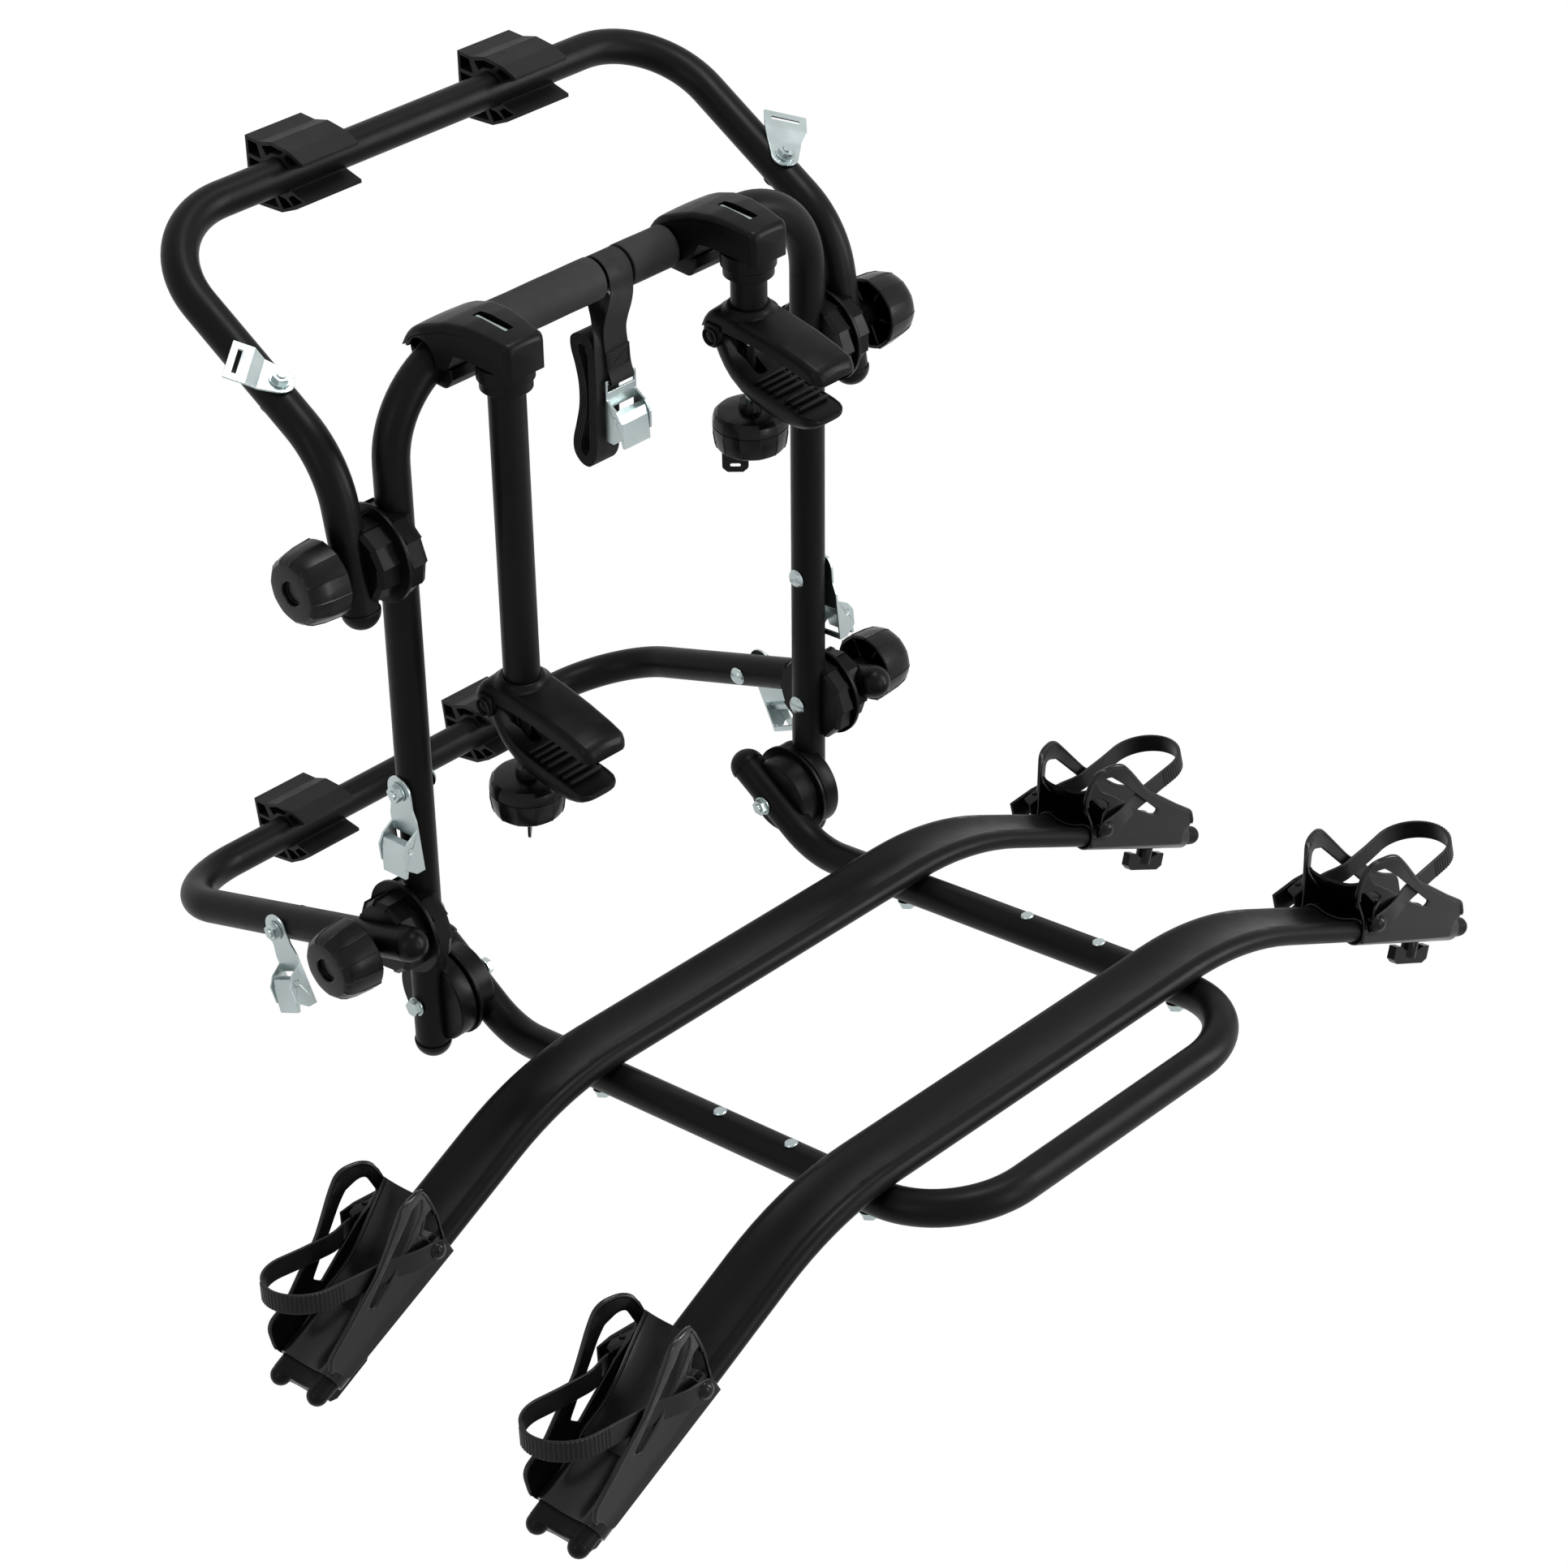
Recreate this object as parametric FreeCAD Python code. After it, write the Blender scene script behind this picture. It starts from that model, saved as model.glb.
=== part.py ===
import FreeCAD, Part
import math
import os

V = FreeCAD.Vector

# Tube stock shared by all the frames
TUBE_R = 15.0
TUBE_WALL = 1.5
BEND_R = 80.0

# Main frame: two upright legs joined by the top bar, with the platform hinge at height zero
LEG_X = 228.3
TOP_BAR_Z = 602.3
LEG_TAIL = 42.0
LOWER_HINGE_Z = 88.0
UPPER_HINGE_Z = 451.6
LEG_BUCKLE_Z = 222.0

# Upper frame, side view: a short stem leaning to the car, a knee and a long arm
UPPER_TAIL = 39.0
UPPER_STEM = 87.7
UPPER_STEM_LEAN = 10.2
UPPER_ARM = 249.2
UPPER_ARM_RISE = 27.9

# Lower frame, side view: straight arms dropping to the car
LOWER_TAIL = 40.0
LOWER_ARM = 334.6
LOWER_DROP = 20.7
LOWER_BUCKLE_AT = 132.9

# Platform, side view: a short stem, a knee and a deck that rises slightly
PLATFORM_TAIL = 39.3
PLATFORM_STEM = 62.9
PLATFORM_STEM_DROP = 30.0
DECK_LENGTH = 515.5
DECK_RISE = 9.86

# Toothed hinge discs: a cup round the leg against a flanged cup round the swinging tube
GROOVE_FIT = 0.15
LEG_CUP_R = 40.0
LEG_CUP_START = 1.0
LEG_CUP_WEB = 1.85
TOOTH_H = 1.2
TOOTH_W = 7.0
TOOTH_COUNT = 12
TIP_GAP = 0.3
DISC_WEB = 11.25
PLATFORM_DISC_WEB = 9.15
RING_R = 42.0
RING_T = 3.3
FRAME_CUP_R = 34.5
FACET_COUNT = 12
FACET_STEP = 0.055

# Hinge bolts, nuts and heads
BOLT_R = 4.0
BOLT_FIT = 0.08
DOME_HEAD_R = 8.5
DOME_HEAD_H = 4.5
HEX_FLATS = 13.0
HEX_H = 6.5

# Clamping knobs of the upper and lower hinges
KNOB_GAP = 0.3
KNOB_HUB_R = 11.0
KNOB_RIM_AT = 9.9
KNOB_RIM_R = 31.5
KNOB_DEPTH = 36.0
KNOB_FACE_R = 22.0
KNOB_WALL = 3.0
KNOB_RECESS_R = 9.5
KNOB_RECESS = 18.0
KNOB_RIBS = 6
KNOB_RIB_T = 2.0

# End caps
CAP_WALL = 1.1
CAP_FIT = 0.1
CAP_PLUG = 12.0
BALL_CAP_LESS = 0.2
TRAY_CAP_LESS = 0.25
TRAY_CAP_WEB = 2.6

# Foam sleeves on the top bar
FOAM_T = 2.8
FOAM_FIT = 0.3
FOAM_INNER = -11.0, 17.0
FOAM_OUTER = -132.0, 65.5

# Pads on the two crossbars
PAD_WIDTH = 58.0
PAD_CENTRES = -105.5, 121.0
PAD_FIT = 0.3
LOWER_PAD_TILT = 8.0

# Wheel trays: two round lobes joined by a waist
TRAY_LOBE_R = 9.0
TRAY_LOBE_Y = 23.4
TRAY_WAIST = 4.5
TRAY_WALL = 1.5
TRAY_SEAT = 0.1
TRAY_CORNER_X = 244.8
TRAY_BEND = 24.8
TRAY_BEND_R = 300.0
TRAY_END = 314.4
TRAY_BORE = 225.0
TRAY_PLACES = 110.8, 423.3
RIVET_PLACES = 259.0, 341.0
RIVET_HOLE = 3.1
RIVET_SHANK = 3.0
RIVET_HEAD_R = 5.75
RIVET_HEAD_H = 1.3

# Wheel holders on the tray ends
HOLDER_START = 159.35
HOLDER_LENGTH = 143.0
HOLDER_FIT = 0.4
HOLDER_WALL = 2.6
WING_T = 3.0
WING_FLARE = 6.5
FLOOR_T = 3.0
FLOOR_HIGH = 38.0
FLOOR_END = 72.0
FLOOR_HALF = 28.0
FLOOR_LIP = 7.0
STRAP_RISE = 31.0
STRAP_T = 2.5
STRAP_W = 17.5
STRAP_LOOP_R = 34.0
STRAP_RUN = 101.0
RIVET_X = 11.5
RIVET_Z = 12.0
RATCHET_MARGIN = 2.2
RATCHET_BASE = 38.0
RATCHET_AXLE_R = 2.5
SCREW_X = 124.6
SCREW_DROP = 27.0
SCREW_WING = 25.0

# Bike arms
ARM_Y = -65.0
HEAD_X = -163.0, 96.5
CLAW_PIN_Z = 299.6, 535.0
CLAW_PIN_Y = -46.0
BAR_FIT = 0.3
ARM_FIT = 0.08
ARM_TOP = 28.0
HEAD_NOSE_Y = -90.0
HEAD_BACK_Y = 24.0
HEAD_NOSE_HALF = 18.75
HEAD_BACK_HALF = 29.5
COLLAR_LOW = -12.3
COLLAR_R = 21.0
CLAMP_HALF = 22.0
CLAW_ENTRY = 28.0
JAW_HALF = 20.0
JAW_EAR_AT = 26.0
JAW_EAR = 5.0
PIN_R = 4.5
CLAMP_BOLT_LOW = -92.0
JAW_RIBS = 9
JAW_RIB_PITCH = 8.5
CLAMP_KNOB_R = 29.0
CLAMP_KNOB_TOP = -73.0
CLAMP_KNOB_LOW = -105.0
KEY_T = 2.4
KEY_TURN = 45.0, -50.0

# Slotted strap brackets on the upper arms
SHEET_T = 2.0
BRACKET_FROM_BAR = 177.0
BRACKET_LUG_R = 12.5
BRACKET_NECK = 30.6
BRACKET_WIDTH = 38.0
BRACKET_SLOT = 25.4
BRACKET_RISE = 5.0
BRACKET_SPLAY = 0.64, 0.77

# Cam buckles, measured from the bolt down the buckle
BUCKLE_PLATE_T = 2.0
BUCKLE_LUG_R = 14.0
BUCKLE_HALF = 16.5
BUCKLE_LENGTH = 69.0
CHEEK_TOP = 30.0
CHEEK_HEIGHT = 19.0
CAM_PIN_Y = 46.0
CAM_PIN_Z = 11.5
CAM_PIN_R = 2.5
LEG_BUCKLE_LEAN = 7.5
LOWER_BUCKLE_LEAN = 28.0

# Retention strap: over the bar, down to its buckle in front and to a hank behind
WEB_T = 1.5
WEB_W = 25.0
STRAP_X = -4.5
STITCH_TOP_Z = 547.0
LOOP_Z = 520.1
LOOP_R = 2.6
BUCKLE_X = -7.5
BUCKLE_TOP_Z = 536.0
HANK_X = -25.5
HANK_TOP = 557.0
HANK_LOW = 431.0
HANK_TURNS = 4
HANK_PITCH = 2.5
HANK_CORE = 2.4
HANK_WAIST = 0.85
HANK_STEPS = 8

X_DIR = V(1, 0, 0)
Y_DIR = V(0, 1, 0)
Z_DIR = V(0, 0, 1)
ORIGIN = V(0, 0, 0)
SIDE_VIEW = FreeCAD.Placement(ORIGIN, FreeCAD.Rotation(Y_DIR, Z_DIR, X_DIR, "XYZ"))
FRONT_VIEW = FreeCAD.Placement(ORIGIN, FreeCAD.Rotation(X_DIR, Z_DIR, -Y_DIR, "XYZ"))

# Values that follow from the sizes above
LEG_CUP_FACE = TUBE_R + GROOVE_FIT + LEG_CUP_WEB
DISC_BASE = LEG_CUP_FACE + 2 * TOOTH_H + TIP_GAP
HINGE_PITCH = DISC_BASE + DISC_WEB + GROOVE_FIT + TUBE_R
PLATFORM_PITCH = DISC_BASE + PLATFORM_DISC_WEB + GROOVE_FIT + TUBE_R
FRAME_X = LEG_X + HINGE_PITCH
PLATFORM_X = LEG_X - PLATFORM_PITCH
HOLE_R = BOLT_R + BOLT_FIT
TRAY_H = TUBE_R + TRAY_SEAT + TRAY_LOBE_R
TRAY_REACH = TRAY_BEND_R * math.tan(math.radians(TRAY_BEND / 2))
TRAY_TIP = FreeCAD.Placement(V(TRAY_CORNER_X, 0, 0), FreeCAD.Rotation(Y_DIR, TRAY_BEND))
KNOB_RIM = HINGE_PITCH + TUBE_R + KNOB_RIM_AT
KNOB_FACE = KNOB_RIM + KNOB_DEPTH
KNOB_NUT = KNOB_FACE - KNOB_RECESS - HEX_H
BUCKLE_SEAT = TUBE_R + TIP_GAP + BUCKLE_PLATE_T + TIP_GAP
HOLDER = FreeCAD.Placement(V(HOLDER_START, 0, 0), FreeCAD.Rotation())
SLEEVE_R = TRAY_LOBE_R + HOLDER_FIT + HOLDER_WALL
SLEEVE_HALF = TRAY_LOBE_Y + SLEEVE_R
STRAP_PLANE = FreeCAD.Rotation(Y_DIR, -STRAP_RISE)
ARM_OFF = ARM_Y - CLAW_PIN_Y
STRAP_SEAT = TUBE_R + FOAM_FIT + FOAM_T + FOAM_FIT


def slope(degrees):
    """Unit vector in the side view, rising by the angle above the way to the car."""
    return V(0, math.cos(math.radians(degrees)), math.sin(math.radians(degrees)))


UPPER_HINGE = V(0, 0, UPPER_HINGE_Z)
UPPER_STEM_DIR = slope(90 - UPPER_STEM_LEAN)
UPPER_ARM_DIR = slope(UPPER_ARM_RISE)
UPPER_KNEE = UPPER_HINGE + UPPER_STEM_DIR * UPPER_STEM
UPPER_BAR = UPPER_KNEE + UPPER_ARM_DIR * UPPER_ARM
LOWER_HINGE = V(0, 0, LOWER_HINGE_Z)
LOWER_DIR = slope(-LOWER_DROP)
LOWER_BAR = LOWER_HINGE + LOWER_DIR * LOWER_ARM
PLATFORM_STEM_DIR = slope(180 + PLATFORM_STEM_DROP)
DECK_DIR = slope(180 - DECK_RISE)
DECK_KNEE = PLATFORM_STEM_DIR * PLATFORM_STEM
DECK = FreeCAD.Placement(DECK_KNEE, FreeCAD.Rotation(X_DIR, -DECK_RISE))
BRACKET_AT = UPPER_BAR - UPPER_ARM_DIR * BRACKET_FROM_BAR
BRACKET_UP = slope(90 + UPPER_ARM_RISE)
LEG_BUCKLE_SPOT = V(LEG_X, 0, LEG_BUCKLE_Z)
LOWER_BUCKLE = LOWER_HINGE + LOWER_DIR * LOWER_BUCKLE_AT
LOWER_BUCKLE_SPOT = V(FRAME_X, LOWER_BUCKLE.y, LOWER_BUCKLE.z)


def placed(shape, placement):
    return shape.transformed(placement.toMatrix())


def moved(shape, x, y, z):
    return shape.translated(V(x, y, z))


def mirrored(shape):
    """The same piece on the other side of the rack."""
    return shape.mirror(ORIGIN, X_DIR)


def fused(solids):
    whole = solids[0].multiFuse(solids[1:]).removeSplitter()
    return whole.Solids[0]


def both_sides(shape):
    return [shape, mirrored(shape)]


def axes(origin, y_dir, z_dir):
    """Placement with the local Y and Z along the given directions."""
    return FreeCAD.Placement(origin, FreeCAD.Rotation(y_dir.cross(z_dir), y_dir, z_dir, "ZYX"))


def rod(start, direction, radius, length):
    return Part.makeCylinder(radius, length, start, direction)


def flat_wire(items):
    """Closed wire: a pair is a corner, and a pair of pairs is an arc through the first to the second."""
    here = V(items[0][0], items[0][1], 0)
    edges = []
    for item in items[1:] + items[:1]:
        if isinstance(item[0], tuple):
            after = V(item[1][0], item[1][1], 0)
            edges.append(Part.Arc(here, V(item[0][0], item[0][1], 0), after).toShape())
        else:
            after = V(item[0], item[1], 0)
            if after.distanceToPoint(here) > 0.001:
                edges.append(Part.LineSegment(here, after).toShape())
        here = after
    return Part.Wire(edges)


def prism(items, low, high):
    face = Part.Face(flat_wire(items)).translated(V(0, 0, low))
    return face.extrude(V(0, 0, high - low))


def side_prism(items, left, right):
    """Outline in the side view, drawn as (y, z), as thick as the stretch along X."""
    return placed(prism(items, left, right), SIDE_VIEW)


def front_prism(items, near, far):
    """Outline in the front view, drawn as (x, z), as thick as the stretch along Y."""
    return placed(prism(items, -far, -near), FRONT_VIEW)


def turned(items):
    """Solid of revolution about Z from (radius, height) points."""
    face = placed(Part.Face(flat_wire(items)), FRONT_VIEW)
    return face.revolve(ORIGIN, Z_DIR, 360)


def round_face(radius):
    def face_at(start, direction):
        return Part.Face(Part.Wire(Part.makeCircle(radius, start, direction)))
    return face_at


def band_face(width_dir, width, thickness):
    """Flat band whose width stays along one direction."""
    def face_at(start, direction):
        across = width_dir * (width / 2)
        through = width_dir.cross(direction).normalize() * (thickness / 2)
        corners = [across + through, across - through, -across - through, through - across]
        return Part.Face(Part.makePolygon([start + c for c in corners] + [start + corners[0]]))
    return face_at


def bent_bar(points, radii, face_at):
    """Bar along straight runs joined by tangent bends at the inner points."""
    pieces = []
    start = points[0]
    for before, corner, after, radius in zip(points, points[1:], points[2:], radii):
        toward = (corner - before).normalize()
        away = (after - corner).normalize()
        turn = toward.getAngle(away)
        reach = radius * math.tan(turn / 2)
        bend_start = corner - toward * reach
        axis = toward.cross(away).normalize()
        centre = bend_start + axis.cross(toward) * radius
        pieces.append(face_at(start, toward).extrude(bend_start - start))
        pieces.append(face_at(bend_start, toward).revolve(centre, axis, math.degrees(turn)))
        start = corner + away * reach
    last = points[-1] - start
    pieces.append(face_at(start, V(last).normalize()).extrude(last))
    return pieces[0].multiFuse(pieces[1:]).Solids[0]


def mirror_route(points):
    """Route over both sides of the rack from the points of its right-hand side."""
    return points + [V(-p.x, p.y, p.z) for p in reversed(points)]


def bent_tube(points):
    return bent_bar(points, [BEND_R] * (len(points) - 2), round_face(TUBE_R))


def on_side(x, side_point):
    return V(x, side_point.y, side_point.z)


def stacked(rings):
    """Solid through similar rings of corners, with flat sides."""
    faces = []
    for ring in (rings[0], rings[-1]):
        faces.append(Part.Face(Part.makePolygon(ring + ring[:1])))
    for low, high in zip(rings, rings[1:]):
        for k in range(len(low)):
            n = (k + 1) % len(low)
            faces.append(Part.Face(Part.makePolygon([low[k], low[n], high[n], high[k], low[k]])))
    return Part.makeSolid(Part.makeShell(faces))


def faceted(levels):
    """Tower of stepped facets through (radius, height) levels."""
    rings = []
    for radius, height in levels:
        ring = []
        for k in range(FACET_COUNT):
            for reach, turn in ((1 - FACET_STEP, k), (1, k + 1)):
                angle = 2 * math.pi * turn / FACET_COUNT
                reach_r = radius * reach
                ring.append(V(reach_r * math.cos(angle), reach_r * math.sin(angle), height))
        rings.append(ring)
    return stacked(rings)


def hex_prism(flats, low, high):
    radius = flats / math.sqrt(3)
    corners = []
    for k in range(6):
        corners.append((radius * math.cos(math.pi * k / 3), radius * math.sin(math.pi * k / 3)))
    return prism(corners, low, high)


def nut(low):
    """Hexagon nut with its flange, on the local Z axis."""
    flange = rod(V(0, 0, low), Z_DIR, HEX_FLATS * 0.66, 1.4)
    body = hex_prism(HEX_FLATS, low + 1.4, low + HEX_H)
    return fused([flange, body]).cut(rod(V(0, 0, low - 1), Z_DIR, HOLE_R, HEX_H + 2))


def dome_bolt(head_at, tip):
    """Bolt along local Z with a low dome head below head_at and its tip at the given height."""
    head = turned([(0, head_at - DOME_HEAD_H), ((DOME_HEAD_R * 0.72, head_at - DOME_HEAD_H * 0.62),
                                               (DOME_HEAD_R, head_at)), (0, head_at)])
    return fused([head, rod(V(0, 0, head_at), Z_DIR, BOLT_R, tip - head_at)])


def hex_bolt(head_at, tip):
    flange = rod(V(0, 0, head_at - 1.4), Z_DIR, HEX_FLATS * 0.66, 1.4)
    head = hex_prism(HEX_FLATS, head_at - HEX_H, head_at - 1.4)
    return fused([flange, head, rod(V(0, 0, head_at), Z_DIR, BOLT_R, tip - head_at)])


def teeth(radius, height):
    """Radial ridges on a hinge face, standing up from the local XY plane."""
    ridges = []
    for k in range(TOOTH_COUNT):
        ridge = side_prism([(-TOOTH_W / 2, -0.2), (TOOTH_W / 2, -0.2), (0, height)], radius * 0.6, radius)
        ridge.rotate(ORIGIN, Z_DIR, 360 * k / TOOTH_COUNT)
        ridges.append(ridge)
    return ridges


def grooved(cup, height):
    """Cut the seat of a tube that lies along local Y at the height, and the bolt hole."""
    seat = rod(V(0, -2 * RING_R, height), Y_DIR, TUBE_R + GROOVE_FIT, 4 * RING_R)
    hole = rod(V(0, 0, -HINGE_PITCH), Z_DIR, HOLE_R, 3 * HINGE_PITCH)
    return cup.cut(seat).cut(hole)


def leg_disc(body):
    """Cup held on the leg, whose toothed face looks along local Z."""
    ridges = [moved(t, 0, 0, LEG_CUP_FACE) for t in teeth(LEG_CUP_R * 0.93, TOOTH_H)]
    return grooved(fused([body] + ridges), 0).Solids[0]


def frame_disc(body, pitch):
    """Flanged cup held on the swinging tube, whose toothed face looks back to the leg."""
    ring = rod(V(0, 0, DISC_BASE), Z_DIR, RING_R, RING_T)
    ridges = []
    for ridge in teeth(LEG_CUP_R * 0.93, TOOTH_H):
        flipped = ridge.mirror(ORIGIN, Z_DIR)
        flipped.rotate(ORIGIN, Z_DIR, 180 / TOOTH_COUNT)
        ridges.append(moved(flipped, 0, 0, DISC_BASE))
    return grooved(fused([body, ring] + ridges), pitch).Solids[0]


def faceted_leg_disc():
    return leg_disc(faceted([(LEG_CUP_R * 0.95, LEG_CUP_START), (LEG_CUP_R, LEG_CUP_START + 4),
                             (LEG_CUP_R, LEG_CUP_FACE)]))


def faceted_frame_disc():
    top = HINGE_PITCH - LEG_CUP_START
    body = faceted([(FRAME_CUP_R, DISC_BASE), (FRAME_CUP_R, top - 4), (FRAME_CUP_R * 0.9, top)])
    return frame_disc(body, HINGE_PITCH)


def plain_leg_disc():
    body = turned([(0, LEG_CUP_START), (LEG_CUP_R - 1.5, LEG_CUP_START), (LEG_CUP_R, LEG_CUP_START + 1.5),
                   (LEG_CUP_R, LEG_CUP_FACE), (0, LEG_CUP_FACE)])
    return leg_disc(body)


def plain_frame_disc():
    top = PLATFORM_PITCH - LEG_CUP_START
    body = turned([(0, DISC_BASE), (FRAME_CUP_R, DISC_BASE), (FRAME_CUP_R, top - 1.5),
                   (FRAME_CUP_R - 1.5, top), (0, top)])
    return frame_disc(body, PLATFORM_PITCH)


def cross_hole(tube, side_point, x):
    """Bolt hole across the rack through the tube at the side view's point."""
    start = V(x - 2 * TUBE_R, side_point.y, side_point.z)
    return tube.cut(rod(start, X_DIR, HOLE_R, 4 * TUBE_R))


def bored(tube, end, inward, depth):
    """Open the end of a tube to the depth."""
    for sign in (1, -1):
        start = V(sign * end.x, end.y, end.z) - inward
        tube = tube.cut(rod(start, inward, TUBE_R - TUBE_WALL, depth + 1))
    return tube


def holes_both_sides(tube, side_points, x):
    for spot in side_points:
        tube = cross_hole(tube, spot, x)
        tube = cross_hole(tube, spot, -x)
    return tube


def end_cap(dome):
    """Domed cap with a plug inside a tube that ends at local height zero."""
    plug = TUBE_R - TUBE_WALL - CAP_FIT
    half = math.sqrt(0.5)
    return turned([(0, -CAP_PLUG), (plug, -CAP_PLUG), (plug, 0), (dome, 0),
                   ((dome * half, dome * half), (0, dome))])


def main_frame_tube():
    tube = bent_tube(mirror_route([V(LEG_X, 0, -LEG_TAIL), V(LEG_X, 0, TOP_BAR_Z)]))
    tube = bored(tube, V(LEG_X, 0, -LEG_TAIL), Z_DIR, TOP_BAR_Z + LEG_TAIL - BEND_R - TUBE_R)
    places = [ORIGIN, LOWER_HINGE, UPPER_HINGE, V(0, 0, LEG_BUCKLE_Z)]
    return [holes_both_sides(tube, places, LEG_X)]


def main_frame_end_caps():
    end = axes(V(LEG_X, 0, -LEG_TAIL), Y_DIR, -Z_DIR)
    return both_sides(placed(end_cap(TUBE_R + CAP_WALL), end))


def foam_sleeves():
    sleeves = []
    for inner, outer in zip(FOAM_INNER, FOAM_OUTER):
        left = min(inner, outer)
        length = abs(outer - inner)
        start = V(left, 0, TOP_BAR_Z)
        outside = rod(start, X_DIR, TUBE_R + FOAM_FIT + FOAM_T, length)
        sleeves.append(outside.cut(rod(start - X_DIR, X_DIR, TUBE_R + FOAM_FIT, length + 2)))
    return sleeves


def main_hinge_discs():
    outward = faceted_leg_disc()
    upper = placed(outward, axes(V(LEG_X, 0, UPPER_HINGE_Z), Z_DIR, X_DIR))
    lower = placed(outward, axes(V(LEG_X, 0, LOWER_HINGE_Z), Z_DIR, X_DIR))
    platform = placed(plain_leg_disc(), axes(V(LEG_X, 0, 0), Z_DIR, -X_DIR))
    return both_sides(upper) + both_sides(lower) + both_sides(platform)


def main_frame_bolts():
    knob_bolt = dome_bolt(-TUBE_R, KNOB_NUT + HEX_H + 3)
    pieces = []
    for height in (UPPER_HINGE_Z, LOWER_HINGE_Z):
        pieces += both_sides(placed(knob_bolt, axes(V(LEG_X, 0, height), Z_DIR, X_DIR)))
    inward = axes(V(LEG_X, 0, 0), Z_DIR, -X_DIR)
    platform_top = PLATFORM_PITCH + TUBE_R
    pieces += both_sides(placed(hex_bolt(-TUBE_R, platform_top + HEX_H + 2), inward))
    pieces += both_sides(placed(nut(platform_top), inward))
    outward = axes(V(LEG_X, 0, LEG_BUCKLE_Z), Z_DIR, X_DIR)
    pieces += both_sides(placed(dome_bolt(-TUBE_R, BUCKLE_SEAT + HEX_H + 1.5), outward))
    pieces += both_sides(placed(nut(BUCKLE_SEAT), outward))
    return pieces


def upper_frame_tube():
    tail = UPPER_HINGE - UPPER_STEM_DIR * UPPER_TAIL
    route = mirror_route([on_side(FRAME_X, p) for p in (tail, UPPER_KNEE, UPPER_BAR)])
    tube = bent_tube(route)
    tube = bored(tube, on_side(FRAME_X, tail), UPPER_STEM_DIR, UPPER_TAIL + TUBE_R)
    tube = holes_both_sides(tube, [UPPER_HINGE], FRAME_X)
    for sign in (1, -1):
        start = on_side(sign * FRAME_X, BRACKET_AT) - BRACKET_UP * 2 * TUBE_R
        tube = tube.cut(rod(start, BRACKET_UP, HOLE_R, 4 * TUBE_R))
    return [tube]


def upper_frame_end_caps():
    tail = UPPER_HINGE - UPPER_STEM_DIR * UPPER_TAIL
    end = axes(on_side(FRAME_X, tail), X_DIR, -UPPER_STEM_DIR)
    return both_sides(placed(end_cap(TUBE_R + CAP_WALL), end))


def upper_hinge_discs():
    place = axes(on_side(FRAME_X - HINGE_PITCH, UPPER_HINGE), UPPER_STEM_DIR, X_DIR)
    return both_sides(placed(faceted_frame_disc(), place))


def lower_frame_tube():
    tail = LOWER_HINGE - LOWER_DIR * LOWER_TAIL
    tube = bent_tube(mirror_route([on_side(FRAME_X, p) for p in (tail, LOWER_BAR)]))
    tube = bored(tube, on_side(FRAME_X, tail), LOWER_DIR, LOWER_TAIL + LOWER_ARM - BEND_R - TUBE_R)
    return [holes_both_sides(tube, [LOWER_HINGE, LOWER_BUCKLE], FRAME_X)]


def lower_frame_end_caps():
    tail = LOWER_HINGE - LOWER_DIR * LOWER_TAIL
    end = axes(on_side(FRAME_X, tail), X_DIR, -LOWER_DIR)
    return both_sides(placed(end_cap(TUBE_R - BALL_CAP_LESS), end))


def lower_hinge_discs():
    place = axes(on_side(FRAME_X - HINGE_PITCH, LOWER_HINGE), LOWER_DIR, X_DIR)
    return both_sides(placed(faceted_frame_disc(), place))


def lower_frame_bolts():
    place = axes(LOWER_BUCKLE_SPOT, LOWER_DIR, X_DIR)
    bolt = placed(dome_bolt(-TUBE_R, BUCKLE_SEAT + HEX_H + 1.5), place)
    return both_sides(bolt) + both_sides(placed(nut(BUCKLE_SEAT), place))


def platform_tube():
    tail = PLATFORM_STEM_DIR * -PLATFORM_TAIL
    corner = DECK_KNEE + DECK_DIR * DECK_LENGTH
    tube = bent_tube(mirror_route([on_side(PLATFORM_X, p) for p in (tail, DECK_KNEE, corner)]))
    tube = bored(tube, on_side(PLATFORM_X, tail), PLATFORM_STEM_DIR, PLATFORM_TAIL + TUBE_R)
    tube = holes_both_sides(tube, [ORIGIN], PLATFORM_X)
    for x in (PLATFORM_X, -PLATFORM_X):
        for place, hole in [(s, HOLE_R) for s in TRAY_PLACES] + [(s, RIVET_HOLE) for s in RIVET_PLACES]:
            drill = rod(V(x, -place, -2 * TUBE_R), Z_DIR, hole, 4 * TUBE_R)
            tube = tube.cut(placed(drill, DECK))
    return [tube]


def platform_hinge_discs():
    place = axes(V(LEG_X, 0, 0), PLATFORM_STEM_DIR, -X_DIR)
    return both_sides(placed(plain_frame_disc(), place))


def tray_outline(extra):
    """Dog-bone section of a tray, grown all round by extra."""
    lobe = TRAY_LOBE_R + extra
    waist = TRAY_WAIST + extra
    side = TRAY_LOBE_Y
    valley = (side ** 2 + waist ** 2 - lobe ** 2) / (2 * (lobe - waist))
    reach = lobe + valley
    y = side - lobe * side / reach
    z = lobe * (waist + valley) / reach
    return [(-y, z), ((0, waist), (y, z)), ((side + lobe, 0), (y, -z)), ((0, -waist), (-y, -z)),
            ((-side - lobe, 0), (-y, z))]


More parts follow.
